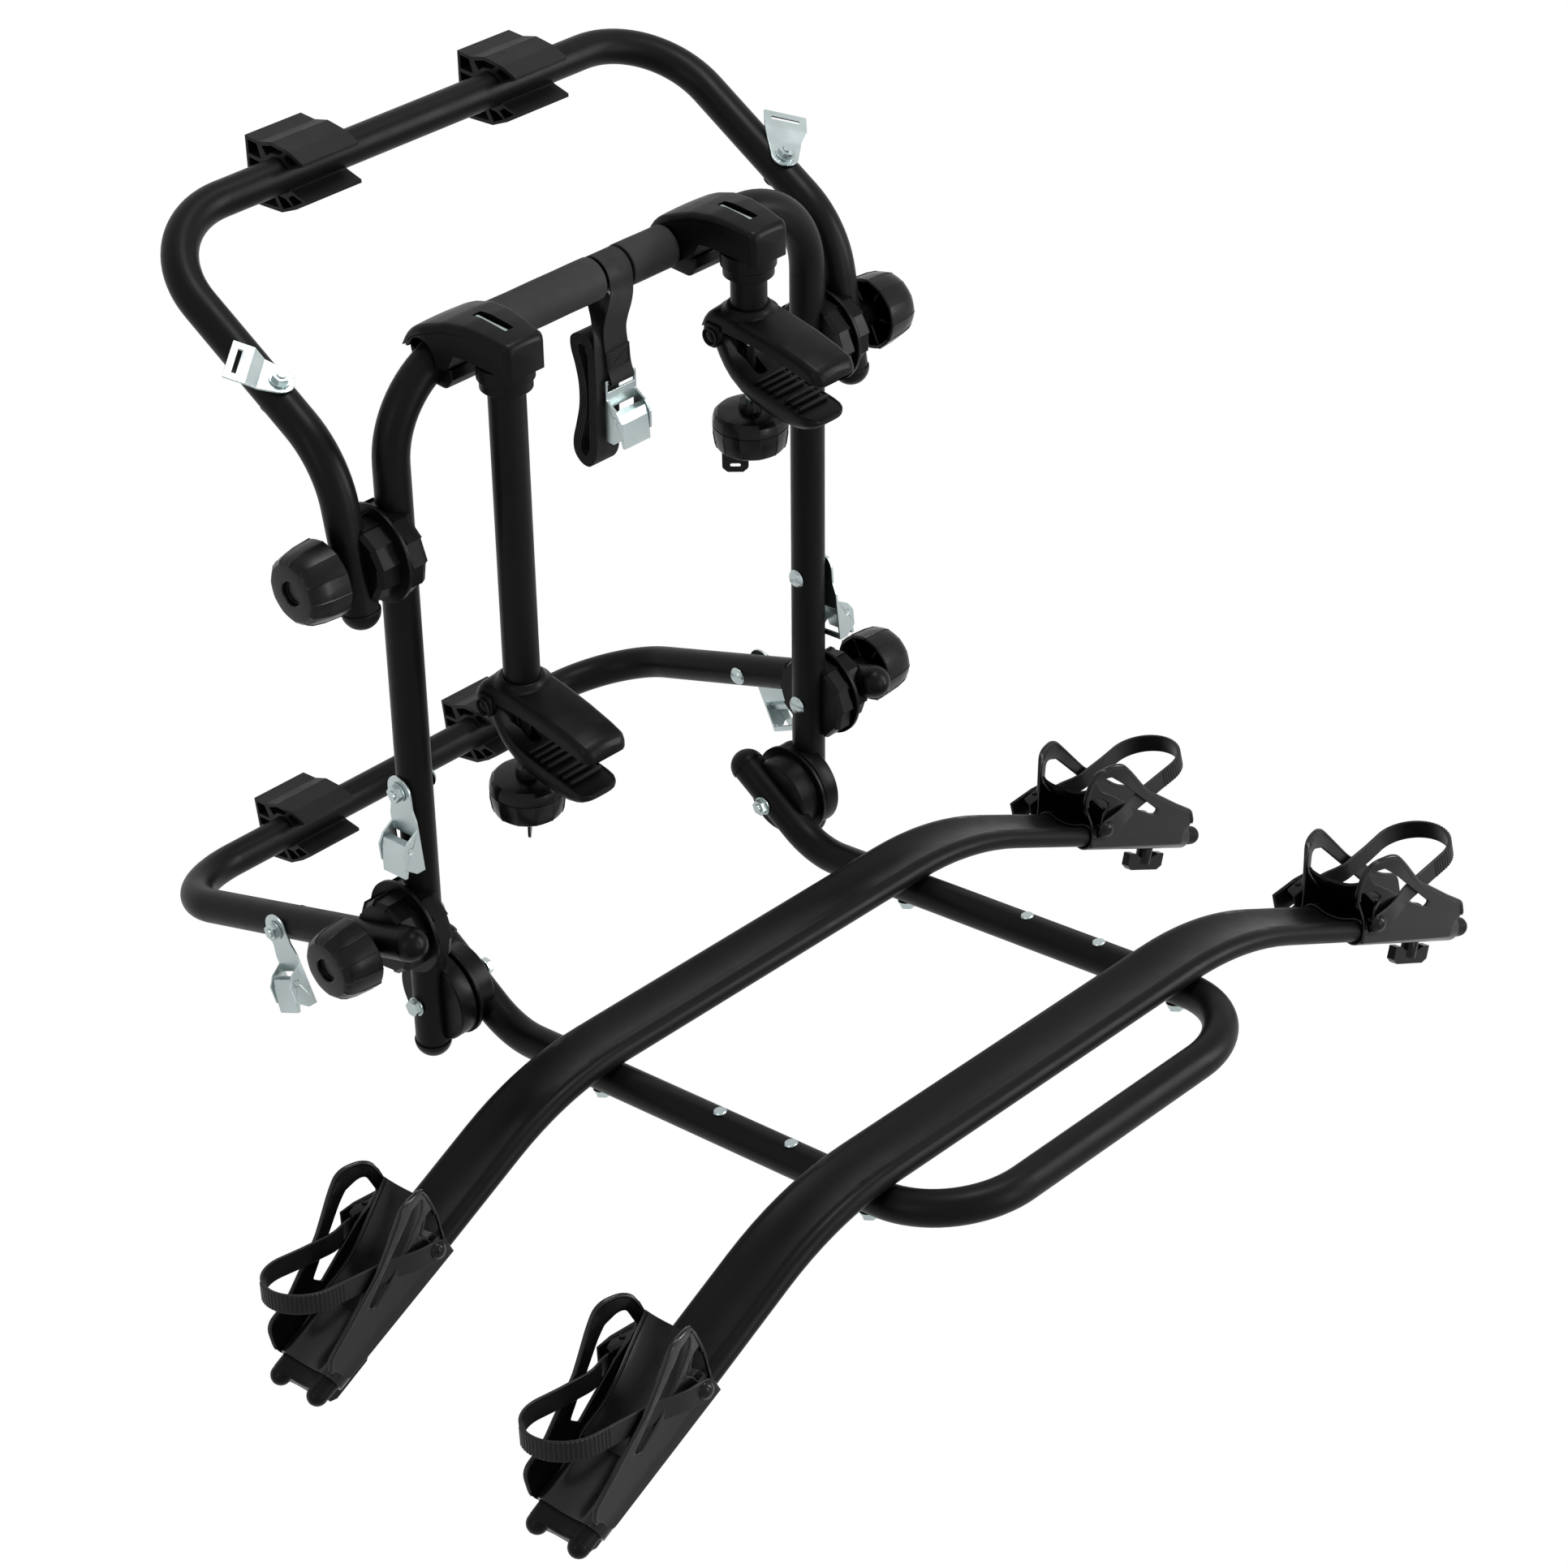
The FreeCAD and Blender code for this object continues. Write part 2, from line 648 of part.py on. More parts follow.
def tray():
    """Tray along X with its middle at the origin and both ends turned down."""
    straight = TRAY_CORNER_X - TRAY_REACH
    outline = tray_outline(0)
    middle = side_prism(outline, 0, straight)
    face = placed(Part.Face(flat_wire(outline)), SIDE_VIEW).translated(V(straight, 0, 0))
    bend = face.revolve(V(straight, 0, -TRAY_BEND_R), Y_DIR, TRAY_BEND)
    tip = placed(side_prism(outline, TRAY_REACH, TRAY_END), TRAY_TIP)
    half = fused([middle, bend, tip])
    bore = side_prism(tray_outline(-TRAY_WALL), TRAY_END - TRAY_BORE, TRAY_END + 1)
    half = half.cut(placed(bore, TRAY_TIP))
    whole = fused([half, mirrored(half)])
    for x in (PLATFORM_X, -PLATFORM_X):
        whole = whole.cut(rod(V(x, 0, -2 * TRAY_LOBE_R), Z_DIR, HOLE_R, 2 * TRAY_LOBE_R))
    return whole


def on_deck(shape, place):
    """Carry a piece drawn about the tray's middle to its place along the deck."""
    return placed(moved(shape, 0, -place, TRAY_H), DECK)


def tray_cap():
    """Two domed plugs and the web between them, on the tip of a tray."""
    pieces = [side_prism(tray_outline(-TRAY_CAP_LESS), TRAY_END, TRAY_END + TRAY_CAP_WEB)]
    radius = TRAY_LOBE_R - TRAY_CAP_LESS
    half = math.sqrt(0.5)
    for y in (TRAY_LOBE_Y, -TRAY_LOBE_Y):
        dome = turned([(0, 0), (radius, 0), ((radius * half, radius * half), (0, radius))])
        pieces.append(placed(dome, axes(V(TRAY_END + TRAY_CAP_WEB, y, 0), Y_DIR, X_DIR)))
        plug_r = TRAY_LOBE_R - TRAY_WALL - CAP_FIT
        pieces.append(rod(V(TRAY_END - CAP_PLUG, y, 0), X_DIR, plug_r, CAP_PLUG))
    return placed(fused(pieces), TRAY_TIP)


def platform_end_caps():
    tail = PLATFORM_STEM_DIR * -PLATFORM_TAIL
    end = axes(on_side(PLATFORM_X, tail), X_DIR, -PLATFORM_STEM_DIR)
    caps = both_sides(placed(end_cap(TUBE_R + CAP_WALL), end))
    for place in TRAY_PLACES:
        caps += both_sides(on_deck(tray_cap(), place))
    return caps


def platform_bolts():
    """Tray bolts from below and the low rivets between the trays."""
    bolt = hex_bolt(-TUBE_R, TUBE_R + TRAY_LOBE_R)
    top = TUBE_R + RIVET_HEAD_H
    rivet_head = turned([(0, TUBE_R), (RIVET_HEAD_R, TUBE_R), (RIVET_HEAD_R - 0.75, top), (0, top)])
    rivet = fused([rivet_head, rod(V(0, 0, TUBE_R - 8), Z_DIR, RIVET_SHANK, 8)])
    pieces = []
    for place in TRAY_PLACES:
        pieces += both_sides(placed(moved(bolt, PLATFORM_X, -place, 0), DECK))
    for place in RIVET_PLACES:
        pieces += both_sides(placed(moved(rivet, PLATFORM_X, -place, 0), DECK))
    return pieces


def hinge_knob():
    """Hollow faceted knob with its nut, on the local Z axis of its hinge."""
    start = HINGE_PITCH + TUBE_R + KNOB_GAP
    mid = KNOB_RIM + KNOB_DEPTH * 0.72
    low = KNOB_RIM + KNOB_DEPTH * 0.92
    shell = faceted([(KNOB_RIM_R, KNOB_RIM), (KNOB_RIM_R * 0.93, mid), (KNOB_RIM_R * 0.82, low),
                     (KNOB_FACE_R, KNOB_FACE)])
    inner_top = KNOB_NUT - KNOB_WALL
    hollow = faceted([(KNOB_RIM_R - 1.5 * KNOB_WALL, KNOB_RIM - 1),
                      (KNOB_RIM_R * 0.93 - 1.5 * KNOB_WALL, inner_top)])
    shell = shell.cut(hollow)
    pieces = [shell, rod(V(0, 0, start), Z_DIR, KNOB_HUB_R, inner_top - start + 0.5)]
    for k in range(KNOB_RIBS):
        rib = Part.makeBox(KNOB_RIM_R * 0.9 - KNOB_HUB_R, KNOB_RIB_T, inner_top - KNOB_RIM - 2,
                           V(KNOB_HUB_R - 1, -KNOB_RIB_T / 2, KNOB_RIM + 3))
        rib.rotate(ORIGIN, Z_DIR, (k + 0.5) * 360 / KNOB_RIBS)
        pieces.append(rib)
    knob = fused(pieces)
    knob = knob.cut(rod(V(0, 0, KNOB_FACE - KNOB_RECESS), Z_DIR, KNOB_RECESS_R, KNOB_RECESS + 1))
    knob = knob.cut(hex_prism(HEX_FLATS + 2 * CAP_FIT, KNOB_NUT, KNOB_FACE))
    knob = knob.cut(rod(V(0, 0, start - 1), Z_DIR, HOLE_R, KNOB_DEPTH + 2 * KNOB_RIM_AT))
    insert = hex_prism(HEX_FLATS, KNOB_NUT, KNOB_NUT + HEX_H)
    insert = insert.cut(rod(V(0, 0, KNOB_NUT - 1), Z_DIR, HOLE_R, HEX_H + 2))
    return [knob, insert]


def knob_at(hinge, side):
    pieces = [placed(p, axes(on_side(LEG_X, hinge), Z_DIR, X_DIR)) for p in hinge_knob()]
    if side == "left":
        pieces = [mirrored(p) for p in pieces]
    return pieces


def pad():
    """Cellular car pad round a crossbar along X, with its flat face towards +Y."""
    inner = TUBE_R + PAD_FIT
    outer = [(41, 22), (23, 22), (6, 27), (-16, 25.5), (-32, 20), (-31, 17), (-13.5, 9.5)]
    reach = math.hypot(13.5, 9.5)
    outer += [(-13.5 * inner / reach, 9.5 * inner / reach), ((0, inner), (inner, 0)),
              ((0, -inner), (-13.8 * inner / 16.5, -9.0 * inner / 16.5))]
    outer += [(-14.6, -9.5), (-32, -13), (-32, -16), (-19, -24), (0, -33), (28, -36), (41, -36)]
    body = side_prism(outer, -PAD_WIDTH / 2, PAD_WIDTH / 2)
    cells = [[(38, 19), (26.5, 19), (22, 7), (38, 7)],
             [(38, 3.5), (22.4, 3.5), (22.4, -4), (38, -4)],
             [(38, -7.5), (21, -7.5), (10, -20), (4, -30), (27, -33), (38, -33)],
             [(20, 19.3), (7, 23.5), (-8, 22.8), (-3, 18.5), (9, 16.5), (14.5, 12.2)],
             [(-12, 22), (-17, 21.5), (-28, 17.5), (-15.5, 12.5), (-8, 17.5)],
             [(-28, -14.5), (-15.5, -12.5), (-9.5, -16.8), (-16, -22.2)],
             [(-5.5, -19), (5, -19), (-1.5, -29.5), (-14.5, -23.2)]]
    for cell in cells:
        body = body.cut(side_prism(cell, -PAD_WIDTH, PAD_WIDTH))
    return body.Solids[0]


def pads_at(bar, tilt):
    pieces = []
    for centre in PAD_CENTRES:
        turn = FreeCAD.Placement(on_side(centre, bar), FreeCAD.Rotation(X_DIR, -tilt))
        pieces.append(placed(pad(), turn))
    return pieces


def bracket_place():
    outward = (X_DIR * BRACKET_SPLAY[0] + UPPER_ARM_DIR * BRACKET_SPLAY[1]).normalize()
    return axes(on_side(FRAME_X, BRACKET_AT), outward, BRACKET_UP)


def strap_bracket():
    """Folded plate: a round lug on the bolt, a raised step and a slotted tab along local Y."""
    low = TUBE_R + TIP_GAP
    lug = prism([(-BRACKET_LUG_R, 0), ((0, -BRACKET_LUG_R), (BRACKET_LUG_R, 0)), (BRACKET_NECK / 2, 15),
                 (-BRACKET_NECK / 2, 15)], low, low + SHEET_T)
    rings = []
    for y, half, height in ((15, BRACKET_NECK / 2, low), (24.7, BRACKET_WIDTH / 2, low + BRACKET_RISE)):
        rings.append([V(-half, y, height), V(half, y, height), V(half, y, height + SHEET_T),
                      V(-half, y, height + SHEET_T)])
    step = stacked(rings)
    tab = Part.makeBox(BRACKET_WIDTH, 17.7, SHEET_T, V(-BRACKET_WIDTH / 2, 24.7, low + BRACKET_RISE))
    slot = Part.makeBox(BRACKET_SLOT, 3.5, 10, V(-BRACKET_SLOT / 2, 33.2, low))
    plate = fused([lug, step, tab]).cut(slot)
    return [plate.cut(rod(V(0, 0, 0), Z_DIR, HOLE_R, 40)).Solids[0]]


def bracket_at(side):
    pieces = [placed(p, bracket_place()) for p in strap_bracket()]
    if side == "left":
        pieces = [mirrored(p) for p in pieces]
    return pieces


def upper_frame_bolts():
    seat = TUBE_R + TIP_GAP + SHEET_T + TIP_GAP
    bolt = placed(dome_bolt(-TUBE_R, seat + HEX_H + 1.5), bracket_place())
    return both_sides(bolt) + both_sides(placed(nut(seat), bracket_place()))


def cheek_outline(low):
    """Side plate of a buckle, drawn as (y, z)."""
    return [(CHEEK_TOP, low), (CHEEK_TOP + 8, low + CHEEK_HEIGHT * 0.7), (CAM_PIN_Y, low + CHEEK_HEIGHT),
            (BUCKLE_LENGTH - 8, low + CHEEK_HEIGHT), (BUCKLE_LENGTH, low + CHEEK_HEIGHT * 0.45),
            (BUCKLE_LENGTH, low)]


def buckle_frame(with_lug):
    """Buckle with local Y down its length and local Z off the tube that its lug is bolted to."""
    low = TUBE_R + TIP_GAP if with_lug else 0.0
    pieces = []
    base_top = CHEEK_TOP - 6
    floor = [(-BUCKLE_HALF, base_top), (BUCKLE_HALF, base_top), (BUCKLE_HALF, CAM_PIN_Y - 7),
             (-BUCKLE_HALF, CAM_PIN_Y - 7)]
    pieces.append(prism(floor, low, low + BUCKLE_PLATE_T))
    pieces.append(Part.makeBox(2 * BUCKLE_HALF, 5, BUCKLE_PLATE_T, V(-BUCKLE_HALF, BUCKLE_LENGTH - 5, low)))
    for x in (-BUCKLE_HALF, BUCKLE_HALF - BUCKLE_PLATE_T):
        cheek = side_prism(cheek_outline(low), x, x + BUCKLE_PLATE_T)
        pin_hole = rod(V(x - 1, CAM_PIN_Y, low + CAM_PIN_Z), X_DIR, CAM_PIN_R + BOLT_FIT, BUCKLE_PLATE_T + 2)
        pieces.append(cheek.cut(pin_hole))
    if with_lug:
        lug = prism([(-BUCKLE_LUG_R, 0), ((0, -BUCKLE_LUG_R), (BUCKLE_LUG_R, 0)), (BUCKLE_HALF - 3, 14),
                     (BUCKLE_HALF, base_top), (-BUCKLE_HALF, base_top), (3 - BUCKLE_HALF, 14)],
                    low, low + BUCKLE_PLATE_T)
        pieces.append(lug.cut(rod(V(0, 0, 0), Z_DIR, HOLE_R, 40)))
    else:
        pieces.append(Part.makeBox(2 * BUCKLE_HALF, 4, BUCKLE_PLATE_T, V(-BUCKLE_HALF, 14, low)))
        for x in (-BUCKLE_HALF, BUCKLE_HALF - BUCKLE_PLATE_T):
            pieces.append(Part.makeBox(BUCKLE_PLATE_T, CHEEK_TOP - 12, BUCKLE_PLATE_T, V(x, 14, low)))
    return fused(pieces)


def buckle_cam(with_lug):
    """Cam lever on its pin between the two side plates."""
    low = TUBE_R + TIP_GAP if with_lug else 0.0
    half = BUCKLE_HALF - BUCKLE_PLATE_T - TIP_GAP
    y = CAM_PIN_Y
    z = low + CAM_PIN_Z
    lever = [(y - 5, z - 4), (y - 2, z - 6.5), (y + 3, z - 5.5), (y + 6, z), (y + 24, z + 5.5),
             (y + 24, z + 8), (y + 2, z + 6), (y - 5, z + 3)]
    pin = rod(V(-BUCKLE_HALF, y, z), X_DIR, CAM_PIN_R, 2 * BUCKLE_HALF)
    return fused([side_prism(lever, -half, half), pin])


def buckle_at(spot, lean, side, piece):
    """Buckle hanging down the outer side of a tube and leaning by the angle away from the car."""
    down = slope(270 - lean)
    shape = placed(piece, axes(spot, down, X_DIR))
    return [mirrored(shape) if side == "left" else shape]


def wing(sign, outline, window):
    """One flared side plate, hinged out about the top of the sleeve."""
    inner = SLEEVE_HALF - WING_T
    plate = front_prism(outline, inner, SLEEVE_HALF)
    plate = plate.cut(front_prism(window, inner - 1, SLEEVE_HALF + 1))
    plate.rotate(V(0, SLEEVE_HALF - WING_T, RIVET_Z - 6), X_DIR, -WING_FLARE)
    if sign < 0:
        plate = plate.mirror(ORIGIN, Y_DIR)
    return plate


def wheel_holder():
    """Cup for a wheel, with local X along the tray tip from its inner edge, Y to the car and Z up."""
    side = TRAY_LOBE_Y
    stadium = [(-side, -SLEEVE_R), (side, -SLEEVE_R), ((side + SLEEVE_R, 0), (side, SLEEVE_R)),
               (-side, SLEEVE_R), ((-side - SLEEVE_R, 0), (-side, -SLEEVE_R))]
    sleeve = side_prism(stadium, 0, HOLDER_LENGTH)
    foot = SLEEVE_R - 2.5
    floor = [(0, FLOOR_HIGH), (FLOOR_END, foot + FLOOR_T), (FLOOR_END + 10, foot + FLOOR_T),
             (FLOOR_END + 10, foot), (FLOOR_END, foot), (0, FLOOR_HIGH - FLOOR_T)]
    trough = front_prism(floor, -FLOOR_HALF, FLOOR_HALF)
    lip = [(0, FLOOR_HIGH), (FLOOR_END, foot + FLOOR_T), (FLOOR_END, foot + FLOOR_T + 5),
           (0, FLOOR_HIGH + FLOOR_LIP)]
    drop = (FLOOR_HIGH - foot - FLOOR_T) / FLOOR_END * 18
    bridge = [(0, FLOOR_HIGH + FLOOR_LIP), (18, FLOOR_HIGH + FLOOR_LIP - drop), (18, FLOOR_HIGH - drop),
              (0, FLOOR_HIGH)]
    reach = SLEEVE_HALF + 1.5
    edges = []
    for near, far in ((FLOOR_HALF - FLOOR_T, FLOOR_HALF), (-FLOOR_HALF, FLOOR_T - FLOOR_HALF)):
        edges.append(front_prism(lip, near, far))
    for near, far in ((FLOOR_HALF - FLOOR_T, reach), (-reach, FLOOR_T - FLOOR_HALF)):
        edges.append(front_prism(bridge, near, far))
    end = HOLDER_LENGTH - 7
    window = [(4, 44), ((5, 54), (14, 56.5)), (88, 27), ((90, 20), (82, 17)), (32, 17)]
    tall = [(3, 2), (-2, 30), (-4, 60), ((1, 72), (14, 70)), (end - 18, 27), ((end + 2, 18), (end, 2))]
    low = [(3, 2), (0, 30), (1, 55), ((8, 67), (20, 66)), (end - 18, 26), ((end + 2, 17), (end, 2))]
    rear = wing(1, tall, window)
    front = wing(-1, low, window)
    body = fused([sleeve, trough, rear, front] + edges)
    body = body.cut(side_prism(tray_outline(HOLDER_FIT), -1, HOLDER_LENGTH + 1))
    body = body.cut(rod(V(SCREW_X, 0, -2 * SLEEVE_R), Z_DIR, HOLE_R, 2 * SLEEVE_R))
    body = body.cut(rod(V(RIVET_X, -2 * SLEEVE_HALF, RIVET_Z), Y_DIR, RIVET_HOLE, 4 * SLEEVE_HALF))
    return [body.Solids[0]]


def strap_point(along, y):
    spot = STRAP_PLANE.multVec(V(along, 0, 0))
    return V(RIVET_X + spot.x, y, RIVET_Z + spot.z)


def strap_placement():
    """Local X along the strap's plane, Y to the car and Z across the band, at the rivet."""
    return FreeCAD.Placement(V(RIVET_X, 0, RIVET_Z), STRAP_PLANE)


def wheel_strap():
    """Toothed band through both windows, its rivet, and the ratchet buckle on the far side."""
    seat = SLEEVE_HALF + 3.6
    outside = SLEEVE_HALF + 4.0
    inside = SLEEVE_HALF - WING_T + 1.6
    far = STRAP_RUN + STRAP_LOOP_R
    loop = STRAP_LOOP_R + 0.6
    over_base = seat + 2 + HOLDER_FIT + STRAP_T / 2 + 0.2
    route = [(-8, -outside), (20, -outside - 0.8), (46, -inside), (far, 2.5 - loop), (far, 2.5 + loop),
             (80, inside), (46, inside), (26, over_base), (-2, over_base + 0.4)]
    across = STRAP_PLANE.multVec(Z_DIR)
    radii = [60, 60, STRAP_LOOP_R, STRAP_LOOP_R, 100, 38, 38]
    band = bent_bar([strap_point(t, y) for t, y in route], radii, band_face(across, STRAP_W, STRAP_T))
    band = band.cut(rod(V(RIVET_X, 0, RIVET_Z), -Y_DIR, RIVET_HOLE, 2 * SLEEVE_HALF))
    button_at = -outside - STRAP_T / 2 - 0.6
    button = turned([(0, 4.5), ((5, 3.4), (7, 0)), (0, 0)])
    button = placed(button, axes(V(RIVET_X, button_at, RIVET_Z), X_DIR, -Y_DIR))
    shank = rod(V(RIVET_X, button_at, RIVET_Z), Y_DIR, RIVET_SHANK, -button_at - SLEEVE_HALF + WING_T + 1)
    rivet = fused([button, shank])
    half = STRAP_W / 2 + RATCHET_MARGIN
    sides = [(-16, seat), (22, seat), (20, seat + 8), (10, seat + 14), (-10, seat + 13)]
    base = Part.makeBox(RATCHET_BASE, 2, 2 * half, V(-16, seat, -half))
    post = rod(V(0, SLEEVE_HALF - WING_T - 1, 0), Y_DIR, RIVET_SHANK, seat - SLEEVE_HALF + WING_T + 1)
    housing = fused([base, prism(sides, -half, 2 - half), prism(sides, half - 2, half), post])
    lever = prism([(-22, seat + 17), (6, seat + 15.5), (24, seat + 12), (25, seat + 14.5), (7, seat + 19),
                   (-22, seat + 20.5)], -half, half)
    axle_at = V(2, seat + 10.5, -half - 0.5)
    axle = rod(axle_at, Z_DIR, RATCHET_AXLE_R, 2 * half + 1)
    web = prism([(-1, seat + 10), (5, seat + 10), (5, seat + 16), (-1, seat + 17)], 2.3 - half, half - 2.3)
    lever = fused([lever, axle, web])
    housing = housing.cut(rod(axle_at - Z_DIR, Z_DIR, RATCHET_AXLE_R + BOLT_FIT, 2 * half + 3))
    buckle = [placed(p, strap_placement()) for p in (housing, lever)]
    return [band, rivet] + buckle


def wing_screw():
    """Screw from below with a two-winged head, backed off so that the holder slides on the tray."""
    top = 1 - SLEEVE_R
    low = -SLEEVE_R - SCREW_DROP
    shank = rod(V(SCREW_X, 0, low + 12), Z_DIR, BOLT_R, top - low - 12)
    hub = rod(V(SCREW_X, 0, low + 6), Z_DIR, 7.5, -SLEEVE_R - TIP_GAP - 6 - low)
    half = SCREW_WING
    wings = [(-half, low + 4), (-half + 6, low), (half - 6, low), (half, low + 4), (half, low + 16),
             (half - 8, low + 16), (6, low + 11), (-6, low + 11), (8 - half, low + 16), (-half, low + 16)]
    head = moved(front_prism(wings, -4, 4), SCREW_X, 0, 0)
    return [fused([shank, hub, head])]


def holder_piece(shapes, place, side):
    pieces = []
    for shape in shapes:
        local = placed(placed(shape, HOLDER), TRAY_TIP)
        piece = on_deck(local, place)
        pieces.append(mirrored(piece) if side == "left" else piece)
    return pieces


def head_cover():
    """Cover of a bike arm's head, drawn about the top bar's axis at the head's middle."""
    bore = TUBE_R + BAR_FIT
    top = [(HEAD_NOSE_Y, 8), (HEAD_NOSE_Y - 1, 33), (HEAD_NOSE_Y + 5, 37), ((-45, 41), (-4, 29)),
           ((14, 19), (HEAD_BACK_Y, 3)), (HEAD_BACK_Y - 3, 1), (bore + 4.2, 2),
           ((bore * 0.9, bore * 0.72), (0, bore)), ((-bore * 0.7, bore * 0.714), (-bore, 0)), (-bore, -5),
           (-26, -5), (-34, 12), (-44, 14), (-44, 8)]
    cover = side_prism(top, -HEAD_BACK_HALF, HEAD_BACK_HALF)
    plan = [(-HEAD_NOSE_HALF, HEAD_NOSE_Y - 2), (HEAD_NOSE_HALF, HEAD_NOSE_Y - 2), (HEAD_BACK_HALF, -4),
            (HEAD_BACK_HALF - 2, HEAD_BACK_Y + 1), (2 - HEAD_BACK_HALF, HEAD_BACK_Y + 1),
            (-HEAD_BACK_HALF, -4)]
    cover = cover.common(prism(plan, -60, 60))
    collar = turned([(0, COLLAR_LOW), (COLLAR_R, COLLAR_LOW), (COLLAR_R, -4), (COLLAR_R + 2, -3),
                     (COLLAR_R + 2, 9), (0, 9)])
    cover = fused([cover, moved(collar, 0, ARM_Y, 0)])
    cover = cover.cut(rod(V(0, ARM_Y, COLLAR_LOW - 1), Z_DIR, TUBE_R + ARM_FIT, 30 - COLLAR_LOW))
    slot = Part.makeBox(9, 38, 20, V(-4.5, -72, 33))
    return cover.cut(slot).Solids[0]


def head_clamp(index):
    """Lower half of the clamp round the top bar, whose back wall ends where the bar starts to bend."""
    bore = TUBE_R + BAR_FIT
    outline = [(-bore, -5.3), (-26, -5.3), (-27, -14), ((-18, -23.5), (0, -24.5)),
               ((17, -19), (HEAD_BACK_Y - 3, 0.7)), (bore, -0.3),
               ((bore * 0.5, -bore * math.sqrt(0.75)), (-bore * 0.94, -bore * 0.34))]
    clamp = side_prism(outline, -CLAMP_HALF, CLAMP_HALF)
    straight = LEG_X - BEND_R
    for limit in (-straight - HEAD_X[index] - 60, straight - HEAD_X[index]):
        clamp = clamp.cut(Part.makeBox(60, 60, 40, V(limit, -bore, -35)))
    return clamp.Solids[0]


def head_plate():
    """Zinc plate seen in the slot of the cover."""
    return Part.makeBox(3, 37, 4, V(-1.5, -71.5, 33))


def holder_head(index):
    pieces = [head_cover(), head_clamp(index), head_plate()]
    return [moved(shape, HEAD_X[index], 0, TOP_BAR_Z) for shape in pieces]


def holder_arm(index):
    """Upright tube from inside the head to inside the upper jaw."""
    low = CLAW_PIN_Z[index] + 10
    high = TOP_BAR_Z + ARM_TOP
    tube = rod(V(HEAD_X[index], ARM_Y, low), Z_DIR, TUBE_R, high - low)
    return [tube.cut(rod(V(HEAD_X[index], ARM_Y, low - 1), Z_DIR, TUBE_R - TUBE_WALL, high - low + 2))]


def claw(shape, index):
    """Carry a piece drawn about the claw's pin to its arm."""
    return moved(shape, HEAD_X[index], CLAW_PIN_Y, CLAW_PIN_Z[index])


def jaw_plan(back_half, nose_half, nose):
    """Plan outline of a jaw with a round nose, drawn as (x, y)."""
    return [(-back_half, 20), (back_half, 20), (back_half, -46), (nose_half, nose + nose_half * 0.8),
            ((0, nose), (-nose_half, nose + nose_half * 0.8)), (-back_half, -46)]


def upper_jaw(index):
    """Arched jaw with a collar round the arm, the hinge pin and the clamp bolt."""
    profile = [(-4, 26), (ARM_OFF - 19, 26), (ARM_OFF - 26, 23), ((-75, 20), (-112, 11)),
               ((-119, 7), (-120, 0)), (-118, -4), ((-75, 2), (-40, 8)), (-14, 8), (-4, 9), (0, 9),
               ((8.5, 3), (7, -6)), ((15, 6), (8, 20))]
    jaw = side_prism(profile, -JAW_EAR_AT, JAW_EAR_AT).common(prism(jaw_plan(24, 16, -120), -60, 60))
    collar = turned([(0, 22), (TUBE_R + 7, 22), (TUBE_R + 3, CLAW_ENTRY), (0, CLAW_ENTRY)])
    jaw = fused([jaw, moved(collar, 0, ARM_OFF, 0)])
    jaw = jaw.cut(rod(V(0, ARM_OFF, 9.9), Z_DIR, TUBE_R + 0.05, 30))
    jaw = jaw.cut(rod(V(-30, 0, 0), X_DIR, 9.3, 60))
    ears = []
    for x in (-JAW_EAR_AT, JAW_EAR_AT - JAW_EAR):
        outline = [(8.5, -2), ((0, -9.0), (-8.5, -2)), (-10, 12), (6, 12)]
        ears.append(side_prism(outline, x, x + JAW_EAR))
    jaw = fused([jaw] + ears)
    boss = rod(V(JAW_EAR_AT - 0.5, 0, 0), X_DIR, 7.5, 2)
    pin = rod(V(-JAW_EAR_AT - 1, 0, 0), X_DIR, PIN_R, 2 * JAW_EAR_AT + 2)
    jaw = fused([jaw, pin] + both_sides(boss))
    bolt = rod(V(0, ARM_OFF, CLAMP_BOLT_LOW), Z_DIR, BOLT_R, 9.5 - CLAMP_BOLT_LOW)
    jaw = jaw.cut(rod(V(0, ARM_OFF, CLAMP_BOLT_LOW), Z_DIR, BOLT_R + 0.01, 9.5 - CLAMP_BOLT_LOW))
    return [claw(jaw.Solids[0], index), claw(bolt, index)]


def lower_jaw(index):
    """Scoop-shaped jaw on the pin, with its ribbed rubber pad."""
    profile = [(7.4, 0), ((0, 7.4), (-6, 4)), (-14, -12), ((-28, -27), (-50, -33)), (-104, -39),
               ((-109, -42), (-106, -47)), ((-80, -58), (-46, -52)), ((-14, -42), (2, -18))]
    jaw = side_prism(profile, -JAW_HALF, JAW_HALF).common(prism(jaw_plan(JAW_HALF, 16, -110), -80, 80))
    jaw = jaw.cut(rod(V(-30, 0, 0), X_DIR, PIN_R + BOLT_FIT, 60))
    slot = Part.makeBox(11, 34, 80, V(-5.5, ARM_OFF - 17, -75))
    jaw = jaw.cut(slot)
    pad_under = [(-16, -13.7), ((-29, -26.6), (-50, -32.7)), (-101, -38.4), (-101, -35.4), (-50, -29.7),
                 ((-31, -24.4), (-19, -12.5))]
    rubber = side_prism(pad_under, -15, 15)
    ribs = []
    for k in range(JAW_RIBS):
        y = -26 - JAW_RIB_PITCH * k
        drop = -20.5 if k == 0 else -25.2 - 1.15 * k
        ribs.append(Part.makeBox(30, 2.5, 3.4, V(-15, y - 1.25, drop - 1.5)))
    rubber = fused([rubber] + ribs).cut(slot)
    return [claw(jaw.Solids[0], index), claw(rubber.Solids[0], index)]


